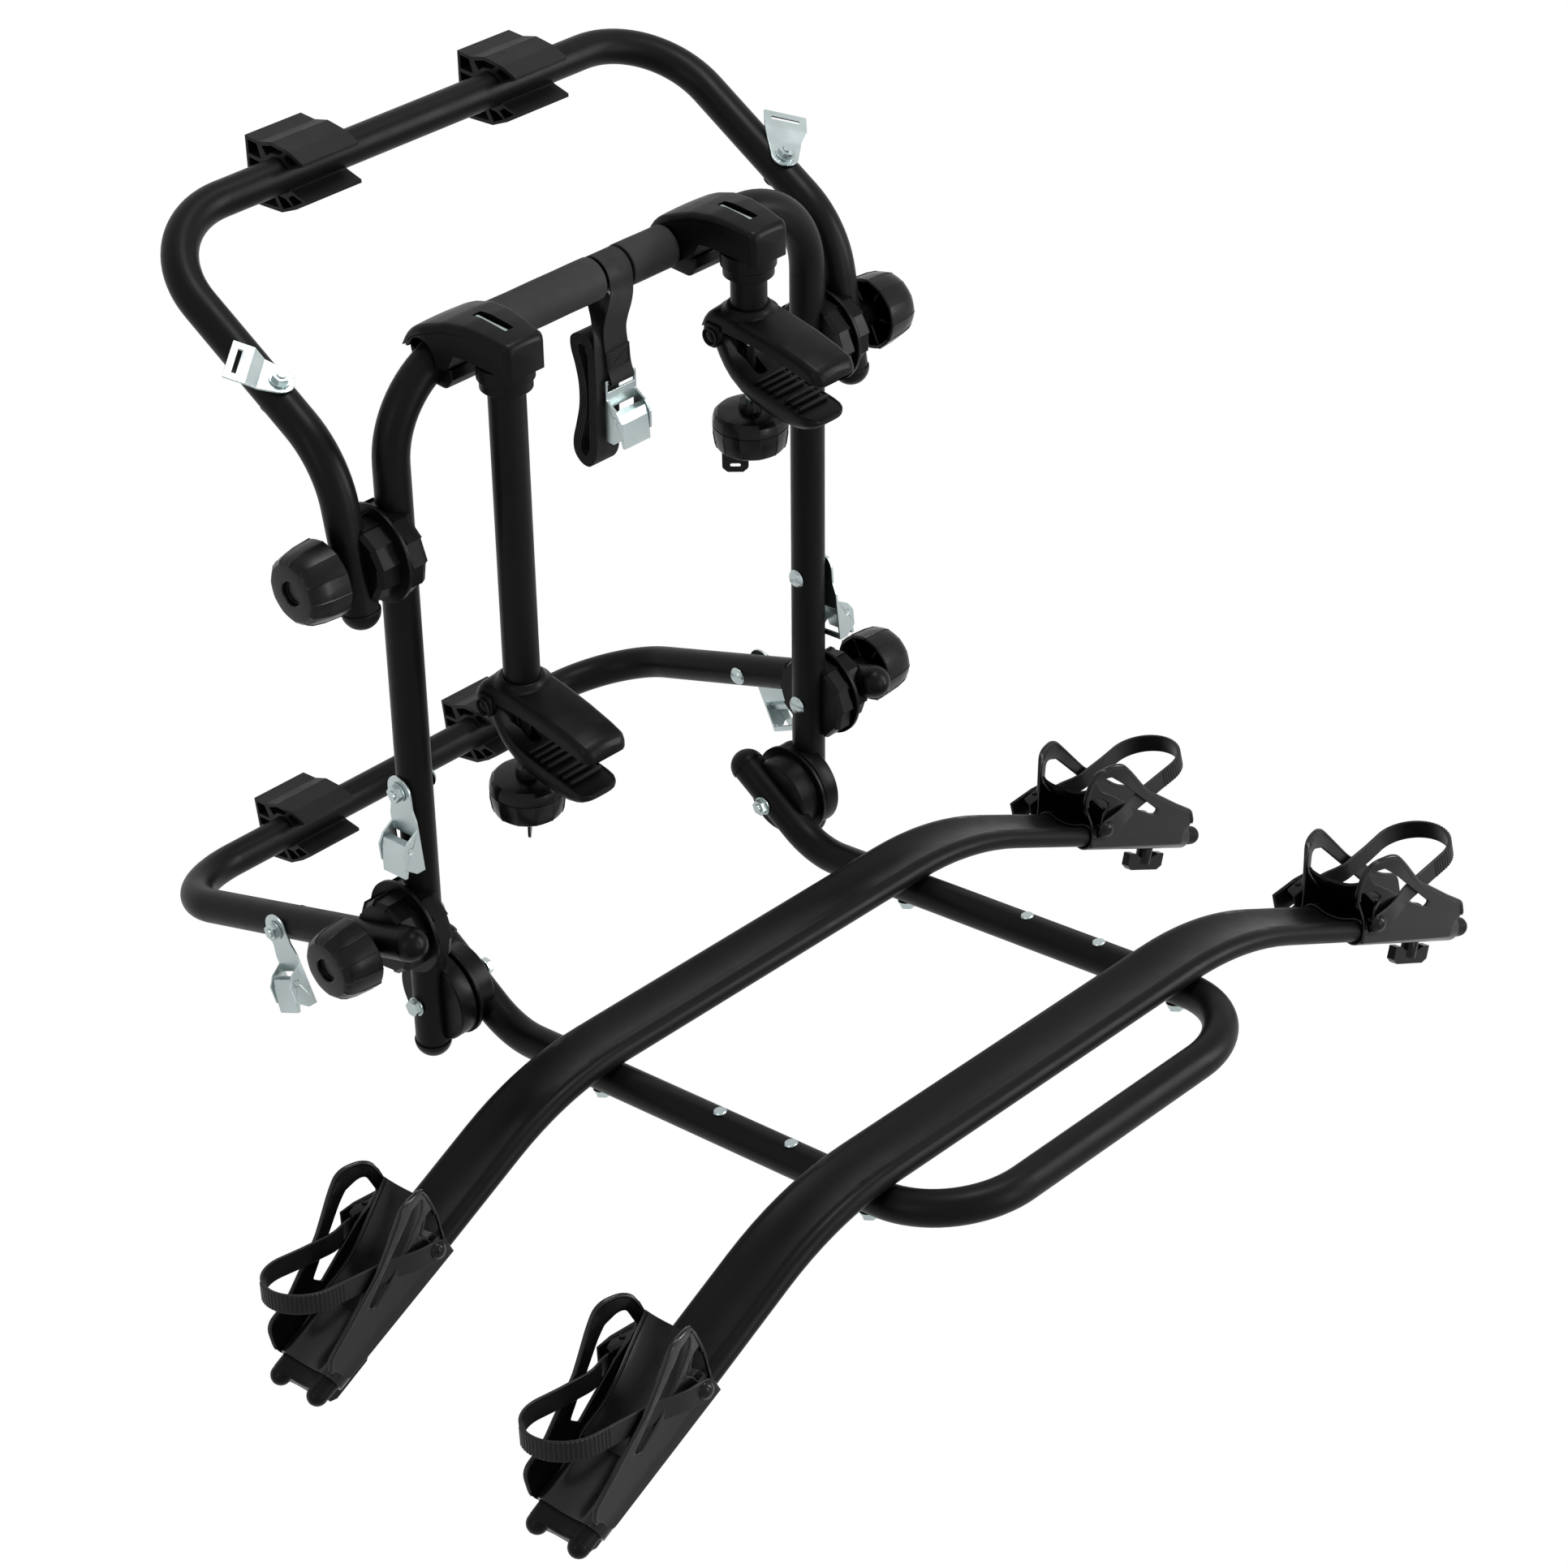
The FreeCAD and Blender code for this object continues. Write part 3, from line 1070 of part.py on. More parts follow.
def clamp_knob(index):
    """Faceted knob on the clamp bolt, with its lock key below."""
    low = CLAMP_KNOB_LOW
    top = CLAMP_KNOB_TOP
    tower = faceted([(CLAMP_KNOB_R * 0.86, low), (CLAMP_KNOB_R * 0.95, low + 6), (CLAMP_KNOB_R, top - 4),
                     (CLAMP_KNOB_R * 0.93, top)])
    hub = rod(V(0, 0, top - 1), Z_DIR, 10, 12)
    knob = fused([tower, hub])
    knob = knob.cut(rod(V(0, 0, low + 12), Z_DIR, HOLE_R, 50))
    knob = knob.cut(Part.makeBox(3.4, 9.4, 13, V(-1.7, -4.7, low - 1)))
    blade = Part.makeBox(KEY_T, 8.6, 14, V(-KEY_T / 2, -4.3, low - 2))
    bow_outline = [(-11, -8), (-8, 0), (8, 0), (11, -8), (11, -18), (5, -24), (-5, -24), (-11, -18)]
    bow = moved(side_prism(bow_outline, -KEY_T / 2, KEY_T / 2), 0, 0, low)
    hole = side_prism([(-4, -19), (4, -19), (4, -16), (-4, -16)], -3, 3)
    key = fused([blade, bow]).cut(moved(hole, 0, 0, low))
    turn = KEY_TURN[index]
    pieces = []
    for shape in (knob, key):
        shape.rotate(ORIGIN, Z_DIR, turn)
        pieces.append(claw(moved(shape, 0, ARM_OFF, 0), index))
    return pieces


def hank_route():
    """Racetrack spiral in the side view, wound outward from its core and drawn in at the waist."""
    middle = (HANK_TOP + HANK_LOW) / 2
    half = (HANK_TOP - HANK_LOW) / 2 - HANK_CORE - HANK_PITCH * HANK_TURNS
    points = []
    for k in range(HANK_TURNS * 2):
        sign = 1 if k % 2 == 0 else -1
        for j in range(HANK_STEPS + 1):
            angle = math.pi * j / HANK_STEPS
            radius = HANK_CORE + HANK_PITCH * (k + j / HANK_STEPS) / 2
            height = half + radius * math.sin(angle)
            points.append(V(0, sign * radius * math.cos(angle), middle + sign * height))
        points.append(V(0, points[-1].y * HANK_WAIST, middle))
    side = HANK_CORE + HANK_PITCH * HANK_TURNS
    points += [V(0, side, middle + half - 4), V(0, side, middle + half)]
    return points


def hank_gap(points):
    """Least distance between the turns of the hank, face to face."""
    least = HANK_TOP
    for k, spot in enumerate(points):
        for other in range(k + HANK_STEPS + 1, len(points) - 1):
            span = points[other + 1] - points[other]
            share = (spot - points[other]).dot(span) / span.dot(span)
            share = min(1.0, max(0.0, share))
            least = min(least, (points[other] + span * share - spot).Length - WEB_T)
    return least


def ribbon(points, centre_x, thickness):
    """Webbing of one width along a route in the side view."""
    left = []
    right = []
    for k, spot in enumerate(points):
        before = points[max(k - 1, 0)]
        after = points[min(k + 1, len(points) - 1)]
        along = (after - before).normalize()
        off = V(0, -along.z, along.y) * (thickness / 2)
        left.append(((spot + off).y, (spot + off).z))
        right.append(((spot - off).y, (spot - off).z))
    return side_prism(left + right[::-1], centre_x - WEB_W / 2, centre_x + WEB_W / 2)


def strap_fall(high, low):
    """Slanting flat stretch of webbing between two heights, square to the side view."""
    rings = []
    for spot in (high, low):
        rings.append([spot + V(-WEB_W / 2, -WEB_T / 2, 0), spot + V(WEB_W / 2, -WEB_T / 2, 0),
                      spot + V(WEB_W / 2, WEB_T / 2, 0), spot + V(-WEB_W / 2, WEB_T / 2, 0)])
    return stacked(rings)


def retention_strap():
    outer = STRAP_SEAT + WEB_T
    arch = [(-outer, 0), ((0, outer), (outer, 0)), (STRAP_SEAT, 0), ((0, STRAP_SEAT), (-STRAP_SEAT, 0))]
    arch = moved(side_prism(arch, STRAP_X - WEB_W / 2, STRAP_X + WEB_W / 2), 0, 0, TOP_BAR_Z)
    mid = STRAP_SEAT + WEB_T / 2
    front = strap_fall(V(STRAP_X, -mid, TOP_BAR_Z), V(BUCKLE_X, -mid, LOOP_Z))
    inner = -STRAP_SEAT - WEB_T
    centre = inner - LOOP_R
    loop = [(inner + WEB_T, LOOP_Z), ((centre, LOOP_Z - LOOP_R - WEB_T), (centre - LOOP_R - WEB_T, LOOP_Z)),
            (centre - LOOP_R - WEB_T, STITCH_TOP_Z), (centre - LOOP_R, STITCH_TOP_Z),
            (centre - LOOP_R, LOOP_Z), ((centre, LOOP_Z - LOOP_R), (inner, LOOP_Z))]
    loop = side_prism(loop, BUCKLE_X - WEB_W / 2, BUCKLE_X + WEB_W / 2)
    spiral = hank_route()
    print("least gap between the hank's turns", round(hank_gap(spiral), 2), "mm")
    rear = strap_fall(V(STRAP_X, mid, TOP_BAR_Z), V(HANK_X, spiral[-1].y, spiral[-1].z))
    return [fused([arch, front, loop, rear, ribbon(spiral, HANK_X, WEB_T)])]


def retention_place():
    seat = STRAP_SEAT + WEB_T + LOOP_R - BUCKLE_PLATE_T / 2
    return axes(V(BUCKLE_X, -seat, BUCKLE_TOP_Z), -Z_DIR, -Y_DIR)


def retention_buckle():
    return [placed(buckle_frame(False), retention_place())]


def retention_buckle_cam():
    return [placed(buckle_cam(False), retention_place())]


def export(name, solids):
    shape = solids[0] if len(solids) == 1 else Part.makeCompound(solids)
    shape.exportStep(os.path.join("parts", name + ".step"))


os.makedirs("parts", exist_ok=True)

export("main_frame_tube", main_frame_tube())
export("main_frame_end_caps", main_frame_end_caps())
export("foam_sleeves", foam_sleeves())
export("main_hinge_discs", main_hinge_discs())
export("main_frame_bolts", main_frame_bolts())
export("upper_frame_tube", upper_frame_tube())
export("upper_frame_end_caps", upper_frame_end_caps())
export("upper_hinge_discs", upper_hinge_discs())
export("upper_frame_bolts", upper_frame_bolts())
export("upper_frame_pads", pads_at(UPPER_BAR, 0))
export("lower_frame_tube", lower_frame_tube())
export("lower_frame_end_caps", lower_frame_end_caps())
export("lower_hinge_discs", lower_hinge_discs())
export("lower_frame_bolts", lower_frame_bolts())
export("lower_frame_pads", pads_at(LOWER_BAR, LOWER_PAD_TILT))
export("platform_tube", platform_tube())
export("platform_hinge_discs", platform_hinge_discs())
export("platform_end_caps", platform_end_caps())
export("platform_bolts", platform_bolts())
export("retention_strap", retention_strap())
export("retention_buckle", retention_buckle())
export("retention_buckle_cam", retention_buckle_cam())

for side in ("left", "right"):
    export("strap_bracket_" + side, bracket_at(side))
    export("upper_knob_" + side, knob_at(UPPER_HINGE, side))
    export("lower_knob_" + side, knob_at(LOWER_HINGE, side))
    for buckle, spot, lean in (("leg_buckle", LEG_BUCKLE_SPOT, LEG_BUCKLE_LEAN),
                               ("lower_buckle", LOWER_BUCKLE_SPOT, LOWER_BUCKLE_LEAN)):
        export(buckle + "_" + side, buckle_at(spot, lean, side, buckle_frame(True)))
        export(buckle + "_cam_" + side, buckle_at(spot, lean, side, buckle_cam(True)))

for tray_name, place in zip(("inner", "outer"), TRAY_PLACES):
    export(tray_name + "_tray", [on_deck(tray(), place)])
    for side in ("left", "right"):
        ending = "_" + tray_name + "_" + side
        export("wheel_holder" + ending, holder_piece(wheel_holder(), place, side))
        export("wheel_strap" + ending, holder_piece(wheel_strap(), place, side))
        export("wing_screw" + ending, holder_piece(wing_screw(), place, side))

for index, side in enumerate(("left", "right")):
    export("holder_head_" + side, holder_head(index))
    export("holder_arm_" + side, holder_arm(index))
    export("upper_jaw_" + side, upper_jaw(index))
    export("lower_jaw_" + side, lower_jaw(index))
    export("clamp_knob_" + side, clamp_knob(index))
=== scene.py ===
import math

import bmesh
import bpy
from mathutils import Matrix, Vector


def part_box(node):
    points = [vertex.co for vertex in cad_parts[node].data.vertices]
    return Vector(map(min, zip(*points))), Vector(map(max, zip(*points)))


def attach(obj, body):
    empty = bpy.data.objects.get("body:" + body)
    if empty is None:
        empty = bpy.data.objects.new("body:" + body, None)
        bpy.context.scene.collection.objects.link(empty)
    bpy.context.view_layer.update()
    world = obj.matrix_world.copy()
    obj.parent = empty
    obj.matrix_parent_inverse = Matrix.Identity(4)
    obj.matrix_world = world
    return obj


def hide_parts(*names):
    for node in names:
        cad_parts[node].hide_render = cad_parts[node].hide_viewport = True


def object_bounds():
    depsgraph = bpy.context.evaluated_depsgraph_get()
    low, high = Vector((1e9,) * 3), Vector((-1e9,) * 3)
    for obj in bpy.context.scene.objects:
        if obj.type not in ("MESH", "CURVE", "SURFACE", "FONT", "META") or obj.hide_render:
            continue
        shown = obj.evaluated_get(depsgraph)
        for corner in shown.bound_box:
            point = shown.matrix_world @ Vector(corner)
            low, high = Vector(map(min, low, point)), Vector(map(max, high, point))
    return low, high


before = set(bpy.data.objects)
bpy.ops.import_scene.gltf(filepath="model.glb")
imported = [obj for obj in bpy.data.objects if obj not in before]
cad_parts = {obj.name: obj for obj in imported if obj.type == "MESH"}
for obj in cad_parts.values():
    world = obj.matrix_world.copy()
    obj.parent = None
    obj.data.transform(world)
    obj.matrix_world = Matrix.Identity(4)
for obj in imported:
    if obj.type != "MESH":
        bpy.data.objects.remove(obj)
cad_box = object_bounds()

MM = 0.001

# Studio
# The rack hangs over a pale floor under broad soft lamps, seen from above its left wheel holders
# with a long lens.
camera = bpy.data.objects.new("studio_camera", bpy.data.cameras.new("studio_camera"))
bpy.context.scene.collection.objects.link(camera)
bpy.context.scene.camera = camera
azimuth = math.radians(-44.7885)
elevation = math.radians(34.8053)
roll = math.radians(-0.4799)
back = Vector((math.sin(azimuth) * math.cos(elevation), -math.cos(azimuth) * math.cos(elevation),
               math.sin(elevation)))
level = (-back).cross(Vector((0, 0, 1))).normalized()
above = level.cross(-back)
across = level * math.cos(roll) + above * math.sin(roll)
upward = above * math.cos(roll) - level * math.sin(roll)
turn = Matrix((across, upward, back)).transposed()
camera.matrix_world = Matrix.Translation(Vector((-1.86754, -2.07897, 2.04675))) @ turn.to_4x4()
camera.data.sensor_width = 36
camera.data.lens = 90.09
camera.data.clip_start = 0.1
camera.data.clip_end = 50


def new_shader(name):
    """Material with its node tree, and the shader that the nodes feed."""
    material = bpy.data.materials.new(name)
    material.use_nodes = True
    tree = material.node_tree
    return material, tree, tree.nodes["Principled BSDF"]


def white_to_eye(tree, shaded):
    """Plain white to the eye, in reflections and through glass; the shaded floor to all other light."""
    light_path = tree.nodes.new("ShaderNodeLightPath")
    glossy = tree.nodes.new("ShaderNodeMath")
    glossy.operation = "MAXIMUM"
    clear = tree.nodes.new("ShaderNodeMath")
    clear.operation = "MAXIMUM"
    white = tree.nodes.new("ShaderNodeEmission")
    white.inputs["Strength"].default_value = 1.0
    mix = tree.nodes.new("ShaderNodeMixShader")
    tree.links.new(light_path.outputs["Is Camera Ray"], glossy.inputs[0])
    tree.links.new(light_path.outputs["Is Glossy Ray"], glossy.inputs[1])
    tree.links.new(glossy.outputs[0], clear.inputs[0])
    tree.links.new(light_path.outputs["Is Transmission Ray"], clear.inputs[1])
    tree.links.new(clear.outputs[0], mix.inputs["Fac"])
    tree.links.new(shaded, mix.inputs[1])
    tree.links.new(white.outputs[0], mix.inputs[2])
    return mix.outputs[0]


world = bpy.data.worlds.new("studio_air")
bpy.context.scene.world = world
world.use_nodes = True
sky = world.node_tree.nodes["Background"]
sky.inputs["Color"].default_value = (1, 1, 1, 1)
AIR_LIGHT = 0.14
sky.inputs["Strength"].default_value = AIR_LIGHT
air_path = world.node_tree.nodes.new("ShaderNodeLightPath")
air_seen = world.node_tree.nodes.new("ShaderNodeMath")
air_seen.operation = "MAXIMUM"
air_clear = world.node_tree.nodes.new("ShaderNodeMath")
air_clear.operation = "MAXIMUM"
strength = world.node_tree.nodes.new("ShaderNodeMapRange")
strength.inputs["To Min"].default_value = AIR_LIGHT
strength.inputs["To Max"].default_value = 1.0
world.node_tree.links.new(air_path.outputs["Is Camera Ray"], air_seen.inputs[0])
world.node_tree.links.new(air_path.outputs["Is Glossy Ray"], air_seen.inputs[1])
world.node_tree.links.new(air_seen.outputs[0], air_clear.inputs[0])
world.node_tree.links.new(air_path.outputs["Is Transmission Ray"], air_clear.inputs[1])
world.node_tree.links.new(air_clear.outputs[0], strength.inputs["Value"])
world.node_tree.links.new(strength.outputs["Result"], sky.inputs["Strength"])

floor_mesh = bpy.data.meshes.new("studio_floor")
floor_z = cad_box[0].z - 0.25
reach = 6.0
floor_mesh.from_pydata([(-reach, -reach, floor_z), (reach, -reach, floor_z), (reach, reach, floor_z),
                        (-reach, reach, floor_z)], [], [(0, 1, 2, 3)])
floor = bpy.data.objects.new("studio_floor", floor_mesh)
bpy.context.scene.collection.objects.link(floor)
floor_paint, floor_tree, floor_shader = new_shader("studio_floor")
floor_shader.inputs["Base Color"].default_value = (0.9, 0.9, 0.9, 1)
floor_shader.inputs["Roughness"].default_value = 0.9
seen = white_to_eye(floor_tree, floor_shader.outputs[0])
floor_tree.links.new(seen, floor_tree.nodes["Material Output"].inputs["Surface"])
floor_mesh.materials.append(floor_paint)


def soft_lamp(name, place, aim, size, power):
    lamp = bpy.data.lights.new(name, "AREA")
    lamp.shape = "RECTANGLE"
    lamp.size, lamp.size_y = size
    lamp.energy = power
    holder = bpy.data.objects.new(name, lamp)
    bpy.context.scene.collection.objects.link(holder)
    holder.location = place
    holder.rotation_mode = "QUATERNION"
    holder.rotation_quaternion = (Vector(aim) - Vector(place)).to_track_quat("-Z", "Y")


soft_lamp("lamp_above", (0.5, -0.2, 3.2), (0, -0.1, 0.1), (0.9, 0.9), 52)
soft_lamp("lamp_left", (-3.2, -0.4, 1.6), (0, -0.1, 0.1), (0.3, 2.0), 14)
soft_lamp("lamp_right", (2.4, -2.6, 1.5), (0, -0.1, 0.1), (0.4, 2.4), 110)
soft_lamp("lamp_strip", (0.4, -3.3, 0.9), (0, -0.1, 0.0), (0.15, 2.2), 30)
bpy.context.scene.view_settings.view_transform = "Standard"

# Tube frames and trays
# Four frames of 30 mm steel tube and two dog-bone section trays, bent on a mandrel and powder coated
# in satin black, which leaves a fine even orange peel.


def grain(tree, scale):
    """Noise measured in metres on the piece itself."""
    place = tree.nodes.new("ShaderNodeTexCoord")
    noise = tree.nodes.new("ShaderNodeTexNoise")
    noise.inputs["Scale"].default_value = scale
    noise.inputs["Detail"].default_value = 2.0
    tree.links.new(place.outputs["Object"], noise.inputs["Vector"])
    return noise.outputs["Fac"]


def spread(tree, source, low, high):
    """The source's 0.3 to 0.7 spread over low to high."""
    ranged = tree.nodes.new("ShaderNodeMapRange")
    ranged.inputs["From Min"].default_value = 0.3
    ranged.inputs["From Max"].default_value = 0.7
    ranged.inputs["To Min"].default_value = low
    ranged.inputs["To Max"].default_value = high
    tree.links.new(source, ranged.inputs["Value"])
    return ranged.outputs["Result"]


def tint(tree, source, dark, pale):
    """Blend between two colours by the source's 0.3 to 0.7."""
    ramp = tree.nodes.new("ShaderNodeValToRGB")
    ramp.color_ramp.elements[0].position = 0.3
    ramp.color_ramp.elements[0].color = (*dark, 1)
    ramp.color_ramp.elements[1].position = 0.7
    ramp.color_ramp.elements[1].color = (*pale, 1)
    tree.links.new(source, ramp.inputs["Fac"])
    return ramp.outputs["Color"]


def dent(tree, shader, source, depth, strength=1.0):
    """Bump of the given depth in metres."""
    bump = tree.nodes.new("ShaderNodeBump")
    bump.inputs["Strength"].default_value = strength
    bump.inputs["Distance"].default_value = depth
    tree.links.new(source, bump.inputs["Height"])
    tree.links.new(bump.outputs["Normal"], shader.inputs["Normal"])
    return bump


def finish_of(name, dark, pale, rough, grain_size, depth, metallic=0.0, level=0.5):
    """Surface with clouded colour, uneven gloss and a fine grain."""
    material, tree, shader = new_shader(name)
    cloud = grain(tree, 14.0)
    fine = grain(tree, 1 / grain_size)
    tree.links.new(tint(tree, cloud, dark, pale), shader.inputs["Base Color"])
    tree.links.new(spread(tree, grain(tree, 60.0), *rough), shader.inputs["Roughness"])
    dent(tree, shader, fine, depth)
    shader.inputs["Metallic"].default_value = metallic
    shader.inputs["Specular IOR Level"].default_value = level
    return material


def ease_edges(part, width):
    """Break the sharp edges of a carried-over part."""
    weld = part.modifiers.new("weld", "WELD")
    weld.merge_threshold = 0.00001
    bevel = part.modifiers.new("edges", "BEVEL")
    bevel.width = width
    bevel.segments = 2
    bevel.limit_method = "ANGLE"
    bevel.angle_limit = math.radians(35)
    bevel.harden_normals = False
    bevel.use_clamp_overlap = True


def dress(material, slot, *names, edge=0.0):
    """Give carried-over metal and moulded parts their finish."""
    for name in names:
        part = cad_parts[name]
        part.data.materials.clear()
        part.data.materials.append(material)
        if edge:
            ease_edges(part, edge)


powder_coat = finish_of("powder_coat", (0.0035, 0.0035, 0.004), (0.005, 0.005, 0.0055), (0.36, 0.42),
                        0.0007,
                        0.000012, level=0.08)
dress(powder_coat, "powder_coat", "main_frame_tube", "upper_frame_tube", "lower_frame_tube",
      "platform_tube",
      "inner_tray", "outer_tray", "holder_arm_left", "holder_arm_right")

# Hinge cups and end caps
# Toothed cups of black nylon clamp the frames' ends at every pivot, and moulded caps are pushed into
# the open ends of the tubes and trays. The gate marks are trimmed, and every edge is eased.
moulded_black = finish_of("moulded_black", (0.002, 0.002, 0.0023), (0.0035, 0.0035, 0.004),
                          (0.34, 0.4), 0.0006,
                          0.000012, level=0.09)
dress(moulded_black, "matte_black", "main_hinge_discs", "upper_hinge_discs", "lower_hinge_discs",
      "platform_hinge_discs", "main_frame_end_caps", "upper_frame_end_caps", "lower_frame_end_caps",
      "platform_end_caps", edge=0.0005)

# Bolts, buckles and brackets
# Turned bolts, hexagon nuts and pressed steel buckles and brackets, all barrel plated in bright zinc
# with a cool blue passivation.
zinc_plate = finish_of("zinc_plate", (0.36, 0.42, 0.42), (0.46, 0.52, 0.52), (0.26, 0.34), 0.0012,
                       0.000004,
                       metallic=1.0)
dress(zinc_plate, "zinc", "main_frame_bolts", "upper_frame_bolts", "lower_frame_bolts",
      "platform_bolts",
      "retention_buckle", "retention_buckle_cam", edge=0.0004)
for side in ("left", "right"):
    dress(zinc_plate, "zinc", "strap_bracket_" + side, "leg_buckle_" + side, "leg_buckle_cam_" + side,
          "lower_buckle_" + side, "lower_buckle_cam_" + side, edge=0.0004)

# Car pads
# Cellular mouldings of black rubber, snapped round the cross bars of the upper and lower frames, with
# a flat face that rests on the car.
black_rubber = finish_of("black_rubber", (0.005, 0.005, 0.005), (0.007, 0.007, 0.007), (0.5, 0.58),
                         0.0006,
                         0.00002, level=0.14)
dress(black_rubber, "rubber", "upper_frame_pads", "lower_frame_pads")

# Wing screws
# A moulded wing on a threaded stud under each wheel holder, which presses on the tray when it is
# tightened.
gloss_black = finish_of("gloss_black", (0.002, 0.002, 0.0023), (0.0035, 0.0035, 0.004), (0.24, 0.3),
                        0.0009,
                        0.000006, level=0.16)
for tray in ("inner", "outer"):
    for side in ("left", "right"):
        dress(gloss_black, "gloss_black", "wing_screw_" + tray + "_" + side, edge=0.0006)

# Wheel holders
# Four cups of black nylon, moulded in one piece: a sleeve over the tray's end, a dished channel for
# the tyre and two flared side plates with a window for the strap. A wing screw holds each one.


def rounded(corners, steps=6):
    """Closed outline through (x, y, radius) corners, each rounded by its radius."""
    outline = []
    for k, (x, y, radius) in enumerate(corners):
        corner = Vector((x, y))
        before = Vector(corners[k - 1][:2]) - corner
        after = Vector(corners[(k + 1) % len(corners)][:2]) - corner
        if radius == 0:
            outline.append(corner)
            continue
        half = before.angle(after) / 2
        reach = min(radius / math.tan(half), before.length * 0.49, after.length * 0.49)
        start = corner + before.normalized() * reach
        end = corner + after.normalized() * reach
        for j in range(steps + 1):
            t = j / steps
            outline.append(start * (1 - t) ** 2 + corner * 2 * t * (1 - t) + end * t ** 2)
    return outline


def add_plate(shape, outer, holes, thickness, rim, place=Matrix()):
    """Flat plate in local XY, thickness along Z, with rounded rims."""
    curve = bpy.data.curves.new("outline", "CURVE")
    curve.dimensions = "2D"
    curve.fill_mode = "BOTH"
    curve.extrude = thickness / 2 - rim
    curve.bevel_depth = rim
    curve.bevel_resolution = 2
    curve.offset = -rim
    for loop in [outer] + holes:
        spline = curve.splines.new("POLY")
        spline.points.add(len(loop) - 1)
        for point, corner in zip(spline.points, loop):
            point.co = (corner[0], corner[1], 0, 1)
        spline.use_cyclic_u = True
    drawn = bpy.data.objects.new("outline", curve)
    mesh = bpy.data.meshes.new_from_object(drawn)
    mesh.transform(place)
    shape.from_mesh(mesh)
    bpy.data.objects.remove(drawn)
    bpy.data.curves.remove(curve)
    bpy.data.meshes.remove(mesh)
    bmesh.ops.remove_doubles(shape, verts=shape.verts, dist=0.02)


def slice_up(shape, direction, low, high, step):
    """Cut extra edges across a plate so that it can be bent."""
    at = low
    while at < high:
        bmesh.ops.bisect_plane(shape, geom=shape.verts[:] + shape.edges[:] + shape.faces[:],
                               plane_co=Vector(direction) * at, plane_no=Vector(direction))
        at += step


def add_loft(shape, rings, closed=True):
    """Skin through rings of as many points each, with flat ends."""
    rows = [[shape.verts.new(point) for point in ring] for ring in rings]
    count = len(rows[0])
    for low, high in zip(rows, rows[1:]):
        for k in range(count):
            n = (k + 1) % count
            shape.faces.new((low[k], low[n], high[n], high[k]))
    if closed:
        shape.faces.new(rows[0][::-1])
        shape.faces.new(rows[-1])
    return rows


def add_turned(shape, profile, place=Matrix(), sides=40):
    """Solid of revolution about local Z through (radius, height) points."""
    rings = []
    for radius, height in profile:
        ring = []
        for k in range(sides):
            angle = 2 * math.pi * k / sides
            ring.append(place @ Vector((radius * math.cos(angle), radius * math.sin(angle), height)))
        rings.append(ring)
    add_loft(shape, rings)


def add_tube(shape, path, radius, sides=10):
    """Round bead along a path."""
    rings = []
    side = Vector((0, 0, 1)) if abs((path[1] - path[0]).normalized().z) < 0.9 else Vector((1, 0, 0))
    for k, point in enumerate(path):
        along = (path[min(k + 1, len(path) - 1)] - path[max(k - 1, 0)]).normalized()
        side = (side - along * side.dot(along)).normalized()
        other = along.cross(side)
        ring = []
        for j in range(sides):
            angle = 2 * math.pi * j / sides
            ring.append(point + side * radius * math.cos(angle) + other * radius * math.sin(angle))
        rings.append(ring)
    add_loft(shape, rings)


def make_piece(name, shape, material, body, place=Matrix(), crease=40):
    """Finish a form drawn in millimetres, put it in its place and fix it to its body."""
    shape.transform(Matrix.Scale(MM, 4) @ place)
    bmesh.ops.recalc_face_normals(shape, faces=shape.faces)
    mesh = bpy.data.meshes.new(name)
    shape.to_mesh(mesh)
    shape.free()
    mesh.polygons.foreach_set("use_smooth", [True] * len(mesh.polygons))
    mesh.set_sharp_from_angle(angle=math.radians(crease))
    mesh.materials.append(material)
    piece = bpy.data.objects.new(name, mesh)
    bpy.context.scene.collection.objects.link(piece)
    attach(piece, body)
    return piece


TRAY_PLACE = {"inner": 110.8, "outer": 423.3}
knee = Vector((0, -62.9 * math.cos(math.radians(30)), -62.9 * math.sin(math.radians(30))))
deck_place = Matrix.Translation(knee) @ Matrix.Rotation(math.radians(-9.86), 4, "X")
tip_place = Matrix.Translation((244.8, 0, 0)) @ Matrix.Rotation(math.radians(24.8), 4, "Y")
SLEEVE_LENGTH = 143.0
LOBE_Y = 23.4
PLATE_Y = 32.4
PLATE_T = 3.0
FLARE = math.tan(math.radians(6.5))


def holder_place(tray, side):
    place = deck_place @ Matrix.Translation((0, -TRAY_PLACE[tray], 24.1)) @ tip_place
    place = place @ Matrix.Translation((159.35, 0, 0))
    return Matrix.Scale(-1, 4, (1, 0, 0)) @ place if side == "left" else place


def arc_of(centre, radius, start, end, steps):
    points = []
    for k in range(steps + 1):
        angle = math.radians(start + (end - start) * k / steps)
        points.append(Vector((centre[0] + radius * math.cos(angle),
                              centre[1] + radius * math.sin(angle))))
    return points


def tray_bore(grow):
    """Dog-bone outline of the tray, grown all round."""
    lobe = 9 + grow
    waist = 4.5 + grow
    valley = (LOBE_Y ** 2 + waist ** 2 - lobe ** 2) / (2 * (lobe - waist))
    slant = math.degrees(math.asin((waist + valley) / (lobe + valley)))
    outline = arc_of((LOBE_Y, 0), lobe, slant - 180, 180 - slant, 22)
    outline += arc_of((0, waist + valley), valley, -slant, slant - 180, 8)[1:-1]
    outline += arc_of((-LOBE_Y, 0), lobe, slant, 360 - slant, 22)
    outline += arc_of((0, -waist - valley), valley, 180 - slant, slant, 8)[1:-1]
    return outline


def smooth_step(t):
    t = min(1.0, max(0.0, t))
    return t * t * (3 - 2 * t)


